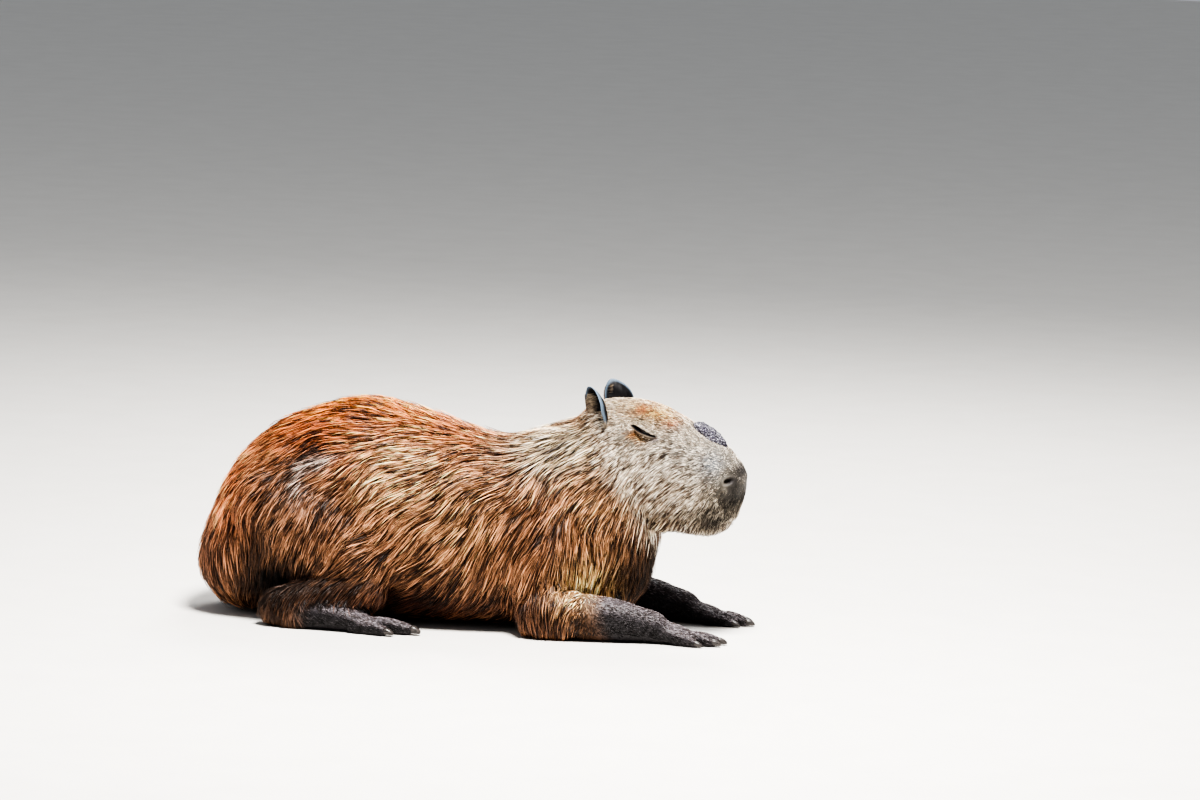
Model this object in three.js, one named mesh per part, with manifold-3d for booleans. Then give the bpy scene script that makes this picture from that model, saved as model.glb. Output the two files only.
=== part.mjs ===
// A life-size adult capybara at rest: it lies on its belly with the head raised, the forelegs stretched
// forward along the ground and the hind legs folded under the haunches. Millimetres, +X towards the nose,
// +Y to the animal's left, +Z up, with the ground at z = 0.
import * as THREE from "three";
import { MeshSurfaceSampler } from "three/addons/math/MeshSurfaceSampler.js";
import { mergeVertices } from "three/addons/utils/BufferGeometryUtils.js";
import Module from "manifold-3d";

const wasm = await Module();
wasm.setup();

// Driving dimensions
const gap = 0.3; // clearance between parts that touch
const mergeWithin = 0.08; // slivers thinner than this are merged after a cut
const coatCore = 6; // how far the furry parts lie inside the tips of the coat
const napeX = 230; // the head turns about an upright axis here
const headTurn = THREE.MathUtils.degToRad(-9); // towards the animal's right
const forefootLead = 14; // how much further forward the left forefoot lies than the right

// Coarse coat: locks that are flat and tapered, rooted in the core, bent along the coat's lie, each over the
// next.
const lock = { length: 112, width: 40, spacing: 65, leastRootHeight: 34, leastTipHeight: 6 };
const lockStray = { heading: 22, bend: 34, size: 0.35 }; // how much a lock's course, bend and size vary
const lockSeed = 20;
const rootTries = 2600; // places tried for a root on each part
const lockShares = [1, 0.75, 0.5]; // a lock that doesn't fit at its full length is tried shorter
// Along a lock from its root: the share of its length and width, and how high its edges and its crown lie
// above the core.
const lockRings = [
  { along: 0, wide: 0.5, edges: -9, crown: -4.5 },
  { along: 0.28, wide: 1, edges: -2.5, crown: 3.2 },
  { along: 0.62, wide: 0.86, edges: 0.6, crown: 5.6 },
  { along: 0.86, wide: 0.46, edges: 2.6, crown: 6 },
];
const lockTip = 5;
const overNeighbour = 0.8; // the least height of a lock's edges where it lies over another part
const lockClearance = 2 * gap;

const skinColours = {
  coat: new THREE.Color(0.47, 0.24, 0.13),
  neck: new THREE.Color(0.62, 0.47, 0.31),
  face: new THREE.Color(0.66, 0.55, 0.42),
  bare: new THREE.Color(0.24, 0.21, 0.21),
  gland: new THREE.Color(0.13, 0.11, 0.13),
  claw: new THREE.Color(0.16, 0.14, 0.12),
  eye: new THREE.Color(0.03, 0.02, 0.02),
};

function material(colour, roughness) {
  return new THREE.MeshStandardMaterial({ color: colour, roughness, metalness: 0 });
}

const materials = {
  coat: material(skinColours.coat, 0.85),
  neck: material(skinColours.neck, 0.85),
  face: material(skinColours.face, 0.8),
  bare: material(skinColours.bare, 0.5),
  gland: material(skinColours.gland, 0.35),
  claw: material(skinColours.claw, 0.4),
  eye: material(skinColours.eye, 0.1),
};

// A body is a loft: oval rings on a curve. Each station gives a ring's centre, its half width, its reach up
// and down, and, where the ring isn't square to the curve, its tilt in degrees, top leaning back. The first
// and last stations are points that close the ends. flat is 2 for an ellipse, more for a boxier ring.
function makeLoft({ stations, sides, edge, flat = 2 }) {
  const pointsOf = (pick) => stations.map((s) => new THREE.Vector3(...pick(s)));
  const curveOf = (pick) => new THREE.CatmullRomCurve3(pointsOf(pick), false, "catmullrom", 0.5);
  const centres = curveOf((s) => [s.x, s.y ?? 0, s.z]);
  const sizes = curveOf((s) => [s.wide ?? 0, s.up ?? 0, s.down ?? s.up ?? 0]);
  const tilts = curveOf((s) => [s.tilt ?? 0, 0, 0]);
  const tilted = stations.some((s) => s.tilt !== undefined);
  const last = stations.length - 1;

  function frameAt(at) {
    const share = at / last;
    const forward = centres.getTangent(share);
    if (tilted) {
      const tilt = THREE.MathUtils.degToRad(tilts.getPoint(share).x);
      forward.set(Math.cos(tilt), 0, Math.sin(tilt));
    }
    const side = new THREE.Vector3(0, 0, 1).cross(forward).normalize();
    const up = forward.clone().cross(side).normalize();
    return { centre: centres.getPoint(share), forward, side, up };
  }

  function pointAt(at, angle, grow = 0) {
    const { centre, side, up } = frameAt(at);
    const size = sizes.getPoint(at / last);
    const c = Math.cos(angle);
    const s = Math.sin(angle);
    const across = Math.max(0, size.x + grow) * Math.sign(c) * Math.abs(c) ** (2 / flat);
    const high = Math.max(0, (s > 0 ? size.y : size.z) + grow) * Math.sign(s) * Math.abs(s) ** (2 / flat);
    return centre.addScaledVector(side, across).addScaledVector(up, high);
  }

  function ringPlaces() {
    const places = [];
    for (let i = 0; i < last; i += 1) {
      const a = stations[i];
      const b = stations[i + 1];
      const step = Math.hypot(a.x - b.x, (a.y ?? 0) - (b.y ?? 0), a.z - b.z, (a.wide ?? 0) - (b.wide ?? 0));
      const count = Math.max(1, Math.round(step / edge));
      for (let k = 0; k < count; k += 1) places.push(i + k / count);
    }
    return places.slice(1);
  }

  function solid(grow = 0) {
    const places = ringPlaces();
    const start = frameAt(0);
    const end = frameAt(last);
    const vertices = [start.centre.addScaledVector(start.forward, -grow)];
    for (const at of places) {
      for (let k = 0; k < sides; k += 1) vertices.push(pointAt(at, (2 * Math.PI * k) / sides, grow));
    }
    vertices.push(end.centre.addScaledVector(end.forward, grow));
    const faces = [];
    const ring = (i, k) => 1 + i * sides + (k % sides);
    const tip = vertices.length - 1;
    for (let k = 0; k < sides; k += 1) {
      faces.push(0, ring(0, k + 1), ring(0, k));
      faces.push(tip, ring(places.length - 1, k), ring(places.length - 1, k + 1));
      for (let i = 0; i + 1 < places.length; i += 1) {
        faces.push(ring(i, k), ring(i, k + 1), ring(i + 1, k));
        faces.push(ring(i, k + 1), ring(i + 1, k + 1), ring(i + 1, k));
      }
    }
    const geometry = new THREE.BufferGeometry().setFromPoints(vertices).setIndex(faces);
    return solidOf(geometry);
  }

  return { pointAt, solid };
}

function solidOf(geometry) {
  const bare = geometry.clone();
  bare.deleteAttribute("normal");
  bare.deleteAttribute("uv");
  const merged = mergeVertices(bare, 1e-3);
  const mesh = new wasm.Mesh({
    numProp: 3,
    vertProperties: new Float32Array(merged.attributes.position.array),
    triVerts: new Uint32Array(merged.index.array),
  });
  const made = new wasm.Manifold(mesh);
  return made.volume() < 0 ? flipped(merged) : made;
}

function flipped(geometry) {
  const order = Array.from(geometry.index.array);
  for (let i = 0; i < order.length; i += 3) [order[i + 1], order[i + 2]] = [order[i + 2], order[i + 1]];
  return solidOf(geometry.clone().setIndex(order));
}

function geometryOf(solid) {
  const mesh = solid.getMesh();
  const geometry = new THREE.BufferGeometry();
  geometry.setAttribute("position", new THREE.BufferAttribute(new Float32Array(mesh.vertProperties), 3));
  geometry.setIndex(new THREE.BufferAttribute(new Uint32Array(mesh.triVerts), 1));
  geometry.computeVertexNormals();
  return geometry;
}

// An ellipsoid with its three radii, turned by Euler angles in degrees and moved to its place.
function ellipsoid(radii, place, turn = [0, 0, 0], detail = [12, 8]) {
  const geometry = new THREE.SphereGeometry(1, ...detail);
  const angles = turn.map((degrees) => THREE.MathUtils.degToRad(degrees));
  const rotation = new THREE.Quaternion().setFromEuler(new THREE.Euler(...angles));
  const matrix = new THREE.Matrix4().compose(
    new THREE.Vector3(...place),
    rotation,
    new THREE.Vector3(...radii),
  );
  return solidOf(geometry.applyMatrix4(matrix));
}

function largest(solid) {
  return solid.decompose().reduce((best, piece) => (piece.volume() > best.volume() ? piece : best));
}

function union(solids) {
  return solids.reduce((sum, piece) => sum.add(piece));
}

// Everything that would reach under the ground is cut off, which leaves flats at z = 0.
function onGround(solid) {
  return solid.trimByPlane([0, 0, 1], 0);
}

// A body loses half the gap where a plane parts it from the next one, through two points seen from the side.
function beyond(solid, top, bottom, side) {
  const normal = new THREE.Vector3(top.z - bottom.z, 0, bottom.x - top.x).normalize().multiplyScalar(side);
  const offset = normal.x * top.x + normal.z * top.z;
  return solid.trimByPlane(normal.toArray(), offset + gap / 2);
}

function mirrored(solid) {
  return solid.mirror([0, 1, 0]);
}

function addNode(group, name, solid, finish) {
  const mesh = new THREE.Mesh(geometryOf(largest(solid.simplify(mergeWithin))), finish);
  mesh.name = name;
  group.add(mesh);
  return mesh;
}

// Trunk: rump, belly, shoulders, chest and neck on one curve, sized to the tips of the coat.
const trunkStations = [
  { x: -493, z: 100, tilt: 0 },
  { x: -486, z: 98, wide: 58, up: 42, down: 43, tilt: 0 },
  { x: -468, z: 105, wide: 100, up: 78, down: 77, tilt: 0 },
  { x: -440, z: 120, wide: 130, up: 132, down: 116, tilt: 0 },
  { x: -400, z: 135, wide: 150, up: 176, down: 141, tilt: 0 },
  { x: -330, z: 150, wide: 166, up: 213, down: 158, tilt: 0 },
  { x: -195, z: 160, wide: 176, up: 243, down: 168, tilt: 0 },
  { x: -60, z: 160, wide: 174, up: 216, down: 168, tilt: 2 },
  { x: 77, z: 160, wide: 160, up: 189, down: 170, tilt: 10 },
  { x: 170, z: 176, y: -1, wide: 142, up: 194, down: 192, tilt: 19 },
  { x: 244, z: 222, y: -4, wide: 118, up: 175, down: 175, tilt: 25 },
  { x: 271, z: 260, y: -7, wide: 100, up: 150, down: 150, tilt: 26 },
  { x: 291, z: 302, y: -10, wide: 84, up: 122, down: 122, tilt: 27 },
  { x: 330, z: 320, y: -16, tilt: 27 },
];
const saddle = { top: { x: 24, z: 380 }, bottom: { x: 24, z: 0 } };
const neckBack = { top: { x: 115, z: 358 }, bottom: { x: 335, z: 140 } };
const neckFront = { top: { x: 226, z: 412 }, bottom: { x: 350, z: 190 } };

function shrunk(stations, depth) {
  return stations.map((s) => ({
    ...s,
    wide: s.wide && s.wide - depth,
    up: s.up && s.up - depth,
    down: s.down && s.down - depth,
  }));
}

// Limbs of the right side, all on curves; the left ones are their mirror images.
const haunchStations = [
  { x: -398, y: -95, z: 232 },
  { x: -376, y: -104, z: 222, wide: 56, up: 62, down: 72 },
  { x: -318, y: -117, z: 186, wide: 72, up: 98, down: 108 },
  { x: -240, y: -125, z: 146, wide: 72, up: 102, down: 104 },
  { x: -168, y: -128, z: 112, wide: 62, up: 80, down: 78 },
  { x: -122, y: -132, z: 94, wide: 40, up: 48, down: 48 },
  { x: -98, y: -134, z: 86 },
];
const shankStations = [
  { x: -118, y: -140, z: 70 },
  { x: -150, y: -148, z: 66, wide: 34, up: 40, down: 40 },
  { x: -230, y: -162, z: 52, wide: 36, up: 40, down: 56 },
  { x: -300, y: -170, z: 40, wide: 32, up: 36, down: 44 },
  { x: -334, y: -171, z: 33, wide: 22, up: 24, down: 28 },
  { x: -350, y: -171, z: 30 },
];
const upperArmStations = [
  { x: 196, y: -88, z: 250 },
  { x: 190, y: -96, z: 228, wide: 34, up: 40 },
  { x: 172, y: -110, z: 168, wide: 46, up: 58 },
  { x: 150, y: -124, z: 104, wide: 44, up: 54 },
  { x: 134, y: -130, z: 66, wide: 34, up: 40 },
  { x: 130, y: -132, z: 44 },
];
const forearmStations = [
  { x: 112, y: -134, z: 40 },
  { x: 134, y: -134, z: 40, wide: 34, up: 36 },
  { x: 200, y: -132, z: 42, wide: 40, up: 44 },
  { x: 280, y: -127, z: 38, wide: 35, up: 41 },
  { x: 335, y: -121, z: 31, wide: 28, up: 33 },
  { x: 372, y: -116, z: 25, wide: 25, up: 26 },
  { x: 392, y: -114, z: 22 },
];

// A foot has its sole on the ground at z = 0 and points along +X from its root, with the outer side at -Y.
// Each toe runs from the sole to its tip and carries one blunt claw.
const forefootPlan = {
  sole: [
    { x: -20, z: 22 },
    { x: -8, z: 22, wide: 22, up: 22, down: 24 },
    { x: 26, z: 18, wide: 29, up: 19, down: 20 },
    { x: 54, z: 13, wide: 31, up: 14, down: 15 },
    { x: 68, z: 10 },
  ],
  toes: [
    { name: "outer", root: [34, -20], tip: [82, -32], wide: 8.5 },
    { name: "second", root: [38, -8], tip: [112, -14], wide: 9.5 },
    { name: "third", root: [38, 6], tip: [120, 8], wide: 9.5 },
    { name: "inner", root: [34, 19], tip: [98, 28], wide: 8.5 },
  ],
};
const hindfootPlan = {
  sole: [
    { x: -16, z: 26 },
    { x: 0, z: 26, wide: 22, up: 22, down: 28 },
    { x: 60, z: 28, wide: 25, up: 24, down: 30 },
    { x: 118, z: 22, wide: 29, up: 20, down: 24 },
    { x: 148, z: 15, wide: 30, up: 14, down: 17 },
    { x: 164, z: 11 },
  ],
  toes: [
    { name: "outer", root: [120, -18], tip: [198, -34], wide: 10.5 },
    { name: "middle", root: [126, 1], tip: [240, -6], wide: 12 },
    { name: "inner", root: [120, 19], tip: [222, 24], wide: 10.5 },
  ],
};
const forefootRoot = { x: 362, y: -115, turn: 2 };
const hindfootRoot = { x: -296, y: -178, turn: -1 };
const clawLength = 17;
const knuckleRise = 6;

function toeStations({ root, tip, wide }) {
  const at = (share) => ({
    x: THREE.MathUtils.lerp(root[0], tip[0], share),
    y: THREE.MathUtils.lerp(root[1], tip[1], share),
  });
  const low = wide * 0.86;
  return [
    { ...at(-0.1), z: low + 2 },
    { ...at(0.05), z: low + 3, wide, up: wide, down: wide + 3 },
    { ...at(0.5), z: low + knuckleRise, wide, up: wide * 0.95, down: wide + knuckleRise },
    { ...at(0.86), z: low, wide: wide * 0.92, up: wide * 0.8, down: wide },
    { ...at(1), z: low * 0.8 },
  ];
}

function clawStations({ root, tip, wide }) {
  const run = Math.hypot(tip[0] - root[0], tip[1] - root[1]);
  const at = (past) => ({
    x: tip[0] + ((tip[0] - root[0]) / run) * past,
    y: tip[1] + ((tip[1] - root[1]) / run) * past,
  });
  const broad = wide * 0.62;
  return [
    { ...at(clawLength * -0.75), z: wide * 0.95 },
    { ...at(clawLength * -0.4), z: wide * 0.9, wide: broad, up: broad * 0.9, down: broad },
    { ...at(clawLength * 0.1), z: wide * 0.66, wide: broad * 0.9, up: broad * 0.8, down: broad * 0.85 },
    { ...at(clawLength * 0.5), z: wide * 0.36 },
  ];
}

function makeFoot(plan) {
  const lofts = [makeLoft({ stations: plan.sole, sides: 10, edge: 34 })];
  for (const toe of plan.toes) lofts.push(makeLoft({ stations: toeStations(toe), sides: 6, edge: 34 }));
  const whole = (grow) => onGround(union(lofts.map((loft) => loft.solid(grow))));
  const claws = plan.toes.map((toe) => {
    const loft = makeLoft({ stations: clawStations(toe), sides: 5, edge: 12 });
    const solid = onGround(loft.solid()).subtract(whole(gap));
    return { name: toe.name, solid, grown: onGround(loft.solid(gap)) };
  });
  return { solid: whole(0), grown: whole(gap), claws };
}

// Head, in its own frame: upright axis through the nape, x along the snout, z above the ground.
const headStations = [
  { x: -40, z: 330, tilt: 0 },
  { x: -25, z: 322, wide: 58, up: 72, down: 72, tilt: 0 },
  { x: 10, z: 308, wide: 76, up: 108, down: 100, tilt: 0 },
  { x: 60, z: 300, wide: 80, up: 121, down: 104, tilt: 0 },
  { x: 108, z: 300, wide: 74, up: 115, down: 106, tilt: 0 },
  { x: 157, z: 292, wide: 62, up: 103, down: 101, tilt: 0 },
  { x: 200, z: 280, wide: 54, up: 92, down: 93, tilt: 0 },
  { x: 232, z: 274, wide: 52, up: 80, down: 82, tilt: 0 },
  { x: 255, z: 275, wide: 46, up: 57, down: 60, tilt: 0 },
  { x: 270, z: 283, wide: 33, up: 28, down: 32, tilt: 0 },
  { x: 277, z: 287, tilt: 0 },
];
const eyeRadius = 14.5;
const eyePlace = { x: 106, y: 50.5, z: 371 };
const lidThickness = 4;
const eyeSlant = 21; // the slit between the lids falls towards the nose, in degrees
const slit = { along: 24, deep: 14, high: 2.2 };
const nostril = { x: 259, y: 33, z: 290 };
const glandPlace = { x: 208, z: 366 };
const mouth = { corner: 182, front: 258, level: 215, dip: 5, lip: 6.5, sunk: 2.5 };
const ear = { x: 20, y: 62, z: 408, tall: 38, broad: 23, deep: 15, wall: 4 };

const headLoft = makeLoft({ stations: headStations, sides: 24, edge: 22, flat: 2.6 });

function headMatrix() {
  return new THREE.Matrix4().makeRotationZ(headTurn).setPosition(napeX, 0, 0);
}

// The line of the mouth, from the left corner round the front to the right one, on the head's surface.
function mouthStations(high, deep, sunk) {
  const steps = 5;
  const stations = [];
  for (let i = -steps; i <= steps; i += 1) {
    const share = Math.abs(i) / steps;
    const x = THREE.MathUtils.lerp(mouth.front, mouth.corner, share ** 1.9);
    const z = mouth.level - mouth.dip * Math.sin(Math.PI * share);
    const spot = surfaceAtLevel(x, z);
    const size = Math.abs(i) === steps ? {} : { wide: deep, up: high, down: high };
    const side = -Math.sign(i);
    stations.push({ x: spot.x - sunk, y: (spot.y + sunk) * side, z, ...size });
  }
  return stations;
}

// The point on the right half of the head's lower surface at a given place along it and a given height.
function surfaceAtLevel(x, z) {
  let at = headStations.findIndex((s) => s.x > x) - 1;
  at += (x - headStations[at].x) / (headStations[at + 1].x - headStations[at].x);
  let low = Math.PI * 1.5;
  let high = Math.PI * 2;
  for (let i = 0; i < 24; i += 1) {
    const middle = (low + high) / 2;
    if (headLoft.pointAt(at, middle).z < z) low = middle;
    else high = middle;
  }
  return headLoft.pointAt(at, low);
}

function headSolid() {
  const lids = [];
  const cuts = [];
  for (const side of [1, -1]) {
    const { x, y, z } = eyePlace;
    const place = [x, y * side, z];
    const lid = eyeRadius + lidThickness;
    lids.push(ellipsoid([lid * 1.25, lid, lid], place, [0, eyeSlant, 0]));
    cuts.push(ellipsoid([eyeRadius + gap, eyeRadius + gap, eyeRadius + gap], place));
    const slitPlace = [x, (y + eyeRadius) * side, z - 1];
    cuts.push(ellipsoid([slit.along, slit.deep, slit.high], slitPlace, [0, eyeSlant, 0], [12, 4]));
    const wing = [nostril.x - 7, (nostril.y - 1) * side, nostril.z + 1];
    lids.push(ellipsoid([13, 9, 12], wing, [0, 0, 0], [10, 7]));
    const pit = [nostril.x, nostril.y * side, nostril.z];
    cuts.push(ellipsoid([8, 9, 4.5], pit, [0, -28, side * 38], [10, 6]));
  }
  const lipStations = mouthStations(mouth.lip, mouth.lip, mouth.sunk);
  const lips = makeLoft({ stations: lipStations, sides: 6, edge: 22 }).solid();
  const line = makeLoft({ stations: mouthStations(1.4, 7.5, 0), sides: 4, edge: 22 }).solid();
  return union([headLoft.solid(), lips, ...lids]).subtract(union([line, ...cuts]));
}

// The ear is a rounded cup with a thin rim that opens outwards and a little forwards.
function earSolid(side) {
  const turn = [side * -8, -14, side * 30];
  const outer = ellipsoid([ear.broad, ear.deep, ear.tall], [ear.x, ear.y * side, ear.z], turn, [13, 8]);
  const inner = ellipsoid(
    [ear.broad - ear.wall, ear.deep - ear.wall / 2, ear.tall - ear.wall],
    [ear.x + 3, (ear.y + 7) * side, ear.z + 3],
    turn,
    [10, 7],
  );
  return outer.subtract(inner);
}

function placedHead(solid) {
  return solid.transform(headMatrix().toArray());
}

function addHead(animal) {
  const group = new THREE.Group();
  group.position.set(napeX, 0, 0);
  group.rotation.z = headTurn;
  const back = new THREE.Matrix4().copy(headMatrix()).invert().toArray();
  const { top, bottom } = neckFront;
  const clearOfNeck = (solid) => beyond(placedHead(solid), top, bottom, 1).transform(back);
  const grown = headLoft.solid(gap);
  const gland = ellipsoid([36, 20, 11], [glandPlace.x, 0, glandPlace.z - 2], [0, 33, 0]);
  addNode(group, "head", clearOfNeck(headSolid()), materials.face);
  addNode(group, "snout_gland", gland.subtract(grown), materials.gland);
  for (const [name, side] of [["left", 1], ["right", -1]]) {
    const eye = ellipsoid([eyeRadius, eyeRadius, eyeRadius], [eyePlace.x, eyePlace.y * side, eyePlace.z]);
    addNode(group, `eye_${name}`, eye, materials.eye);
    addNode(group, `ear_${name}`, clearOfNeck(earSolid(side).subtract(grown)), materials.bare);
  }
  animal.add(group);
}

// The middle line that the coat is seen from: every point of the coat lies straight out from it.
const middleLine = [
  [-340, 0, 160],
  [-60, 0, 160],
  [110, 0, 180],
  [240, -4, 235],
].map((place) => new THREE.Vector3(...place));

function randomFrom(seed) {
  let state = seed;
  return () => {
    state = (state + 0x6d2b79f5) | 0;
    let mixed = Math.imul(state ^ (state >>> 15), 1 | state);
    mixed = (mixed + Math.imul(mixed ^ (mixed >>> 7), 61 | mixed)) ^ mixed;
    return ((mixed ^ (mixed >>> 14)) >>> 0) / 4294967296;
  };
}

function nearestOnMiddle(point) {
  let best;
  for (let i = 0; i + 1 < middleLine.length; i += 1) {
    const stretch = new THREE.Line3(middleLine[i], middleLine[i + 1]);
    const near = stretch.closestPointToPoint(point, true, new THREE.Vector3());
    if (!best || near.distanceTo(point) < best.distanceTo(point)) best = near;
  }
  return best;
}

// Gives, for any point near the body, the outermost spot of the body straight out from the middle line.
function makeSurface(bodies) {
  const caster = new THREE.Raycaster();
  const reach = 900;
  return (point) => {
    const middle = nearestOnMiddle(point);
    const out = point.clone().sub(middle).normalize();
    caster.set(middle.addScaledVector(out, reach), out.negate());
    const hit = caster.intersectObjects(bodies, false)[0];
    return hit && { point: hit.point, normal: hit.face.normal.clone(), name: hit.object.name };
  };
}

// The coat flows back along the spine, down and back over the flanks, and nearly straight down over the
// shoulders and the neck: one direction for each place, laid against the surface there.
function lieAt({ point, normal }, heading) {
  const share = THREE.MathUtils.smoothstep(point.x, 0, 230);
  const steep = THREE.MathUtils.degToRad(THREE.MathUtils.lerp(52, 70, share) + heading);
  const flow = new THREE.Vector3(-Math.cos(steep), 0, -Math.sin(steep));
  return flow.projectOnPlane(normal).normalize();
}

function lockPath(surface, root, length, heading, bend) {
  const path = [surface(root)];
  const steps = [...lockRings.slice(1).map((ring) => ring.along), 1];
  let done = 0;
  for (const along of steps) {
    const from = path[path.length - 1];
    if (!from) return null;
    const run = (along - done) * length;
    path.push(surface(from.point.clone().addScaledVector(lieAt(from, heading + bend * along), run)));
    done = along;
  }
  return path.every(Boolean) ? path : null;
}

// Whether a path runs on without a sharp step or turn, where a lock would fold over itself.
function smooth(path) {
  const most = THREE.MathUtils.degToRad(38);
  const steps = path.slice(1).map((place, i) => place.point.clone().sub(path[i].point));
  const level = path.slice(1).every((place, i) => place.normal.angleTo(path[i].normal) < most);
  return level && steps.slice(1).every((step, i) => step.angleTo(steps[i]) < most);
}

function lockSolid(path, width, grow) {
  const own = path[0].name;
  const vertices = [];
  lockRings.forEach((ring, i) => {
    const { point, normal, name } = path[i];
    const forward = path[i + 1].point.clone().sub(point).normalize();
    const across = normal.clone().cross(forward).normalize();
    const lift = name === own ? 0 : Math.max(0, overNeighbour - ring.edges);
    const half = (width * ring.wide) / 2 + grow;
    const low = point.clone().addScaledVector(normal, ring.edges + lift - grow);
    vertices.push(low.clone().addScaledVector(across, half), low.clone().addScaledVector(across, -half));
    vertices.push(point.clone().addScaledVector(normal, ring.crown + lift + grow));
  });
  const end = path[path.length - 1];
  const pull = end.point.clone().sub(path[path.length - 2].point).normalize();
  vertices.push(end.point.clone().addScaledVector(end.normal, lockTip).addScaledVector(pull, grow * 3));
  const faces = [0, 1, 2];
  const rings = lockRings.length;
  for (let i = 0; i < rings; i += 1) {
    for (let k = 0; k < 3; k += 1) {
      const a = i * 3 + k;
      const b = i * 3 + ((k + 1) % 3);
      if (i + 1 < rings) faces.push(a, a + 3, b, b, a + 3, b + 3);
      else faces.push(a, rings * 3, b);
    }
  }
  return solidOf(new THREE.BufferGeometry().setFromPoints(vertices).setIndex(faces));
}

// Lays locks all over the coated bodies, evenly spread, and returns them by the name of the body that they
// root in.
function layLocks(bodies, coated) {
  const random = randomFrom(lockSeed);
  const surface = makeSurface(bodies);
  const roots = [];
  const laid = Object.fromEntries(coated.map((name) => [name, []]));
  for (const body of bodies.filter((mesh) => coated.includes(mesh.name))) {
    const sampler = new MeshSurfaceSampler(body).setRandomGenerator(random).build();
    for (let tries = 0; tries < rootTries; tries += 1) {
      const root = new THREE.Vector3();
      sampler.sample(root);
      if (root.z < lock.leastRootHeight) continue;
      if (roots.some((other) => other.distanceTo(root) < lock.spacing)) continue;
      const spot = surface(root);
      if (!spot || spot.name !== body.name || spot.point.distanceTo(root) > 1) continue;
      const heading = (random() - 0.5) * lockStray.heading;
      const bend = (random() - 0.5) * lockStray.bend;
      const width = lock.width * (1 + (random() - 0.5) * lockStray.size);
      const length = lock.length * (1 + (random() - 0.5) * lockStray.size);
      const fits = (path) => path && smooth(path) && path[path.length - 1].point.z > lock.leastTipHeight
        && path.every((place) => coated.includes(place.name));
      const pathOf = (share) => lockPath(surface, root, length * share, heading, bend);
      const path = lockShares.map(pathOf).find(fits);
      if (!path) continue;
      roots.push(root);
      const grown = lockSolid(path, width, lockClearance);
      laid[body.name].push({ solid: lockSolid(path, width, 0), grown });
    }
  }
  return laid;
}

function addFoot(animal, name, foot, root, side, lead) {
  const mirror = side === "left" ? -1 : 1;
  const group = new THREE.Group();
  group.position.set(root.x + lead, root.y * mirror, 0);
  group.rotation.z = THREE.MathUtils.degToRad(root.turn * mirror);
  const turned = (solid) => (side === "left" ? mirrored(solid) : solid);
  const clearOfClaws = foot.solid.subtract(union(foot.claws.map((claw) => claw.grown)));
  addNode(group, `${name}_${side}`, turned(clearOfClaws), materials.bare);
  for (const claw of foot.claws) {
    addNode(group, `${name}_${side}_claw_${claw.name}`, turned(claw.solid), materials.claw);
  }
  group.updateMatrix();
  animal.add(group);
  return turned(foot.grown).transform(group.matrix.toArray());
}

function meshOf(name, solid) {
  const mesh = new THREE.Mesh(geometryOf(solid));
  mesh.name = name;
  return mesh;
}

// The bare cores of the body and what surrounds each, with room for the gap, before any locks.
function makeCores(animal) {
  const limbs = {
    haunch: makeLoft({ stations: shrunk(haunchStations, coatCore), sides: 14, edge: 42 }),
    shank: makeLoft({ stations: shankStations, sides: 10, edge: 44 }),
    upper_arm: makeLoft({ stations: shrunk(upperArmStations, coatCore), sides: 12, edge: 40 }),
    forearm: makeLoft({ stations: forearmStations, sides: 12, edge: 40 }),
  };
  const trunk = makeLoft({ stations: shrunk(trunkStations, coatCore), sides: 22, edge: 70, flat: 2.2 });
  const forefoot = makeFoot(forefootPlan);
  const hindfoot = makeFoot(hindfootPlan);
  const cores = {};
  const feet = [];
  let body = onGround(trunk.solid());
  for (const side of ["right", "left"]) {
    const lead = side === "left" ? forefootLead : 0;
    const shape = (name, grow) => {
      const solid = onGround(limbs[name].solid(grow));
      const own = side === "left" ? mirrored(solid) : solid;
      return name === "forearm" ? own.translate([lead, 0, 0]) : own;
    };
    const forefootSpace = addFoot(animal, "forefoot", forefoot, forefootRoot, side, lead);
    const hindfootSpace = addFoot(animal, "hindfoot", hindfoot, hindfootRoot, side, 0);
    feet.push(forefootSpace, hindfootSpace);
    cores[`upper_arm_${side}`] = { solid: shape("upper_arm", 0), grown: shape("upper_arm", gap) };
    cores[`haunch_${side}`] = {
      solid: shape("haunch", 0).subtract(hindfootSpace),
      grown: shape("haunch", gap).subtract(hindfootSpace),
    };
    cores[`shank_${side}`] = {
      solid: shape("shank", 0).subtract(shape("haunch", gap)).subtract(hindfootSpace),
      grown: shape("shank", gap).subtract(shape("haunch", gap)),
    };
    cores[`forearm_${side}`] = {
      solid: shape("forearm", 0).subtract(shape("upper_arm", gap)).subtract(forefootSpace),
      grown: shape("forearm", gap).subtract(shape("upper_arm", gap)),
    };
    const limbSpace = union(Object.keys(limbs).map((name) => shape(name, gap)));
    body = body.subtract(union([limbSpace, forefootSpace, hindfootSpace]));
  }
  const room = onGround(trunk.solid(gap));
  const cut = (solid, from, to) => {
    const after = from ? beyond(solid, from.top, from.bottom, 1) : solid;
    return beyond(after, to.top, to.bottom, -1);
  };
  const stretches = [
    ["neck", neckBack, neckFront],
    ["shoulders", saddle, neckBack],
    ["torso", null, saddle],
  ];
  for (const [name, from, to] of stretches) {
    cores[name] = { solid: cut(body, from, to), grown: cut(room, from, to) };
  }
  return { cores, feet };
}

// The coated parts, from those whose locks lie over their neighbours to those that lie under them.
const coated = [
  "neck",
  "upper_arm_right",
  "upper_arm_left",
  "haunch_right",
  "haunch_left",
  "shoulders",
  "torso",
];
const finishes = { neck: materials.neck, forearm_right: materials.bare, forearm_left: materials.bare };

// A part's core with its locks fused on, cut clear of its neighbours' cores.
function withLocks(name, cores, locks) {
  const { solid } = cores[name];
  if (!locks.length) return solid;
  const others = Object.keys(cores).filter((other) => other !== name);
  const room = union(others.map((other) => cores[other].grown));
  return solid.add(union(locks.map((one) => one.solid)).subtract(room));
}

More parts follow.
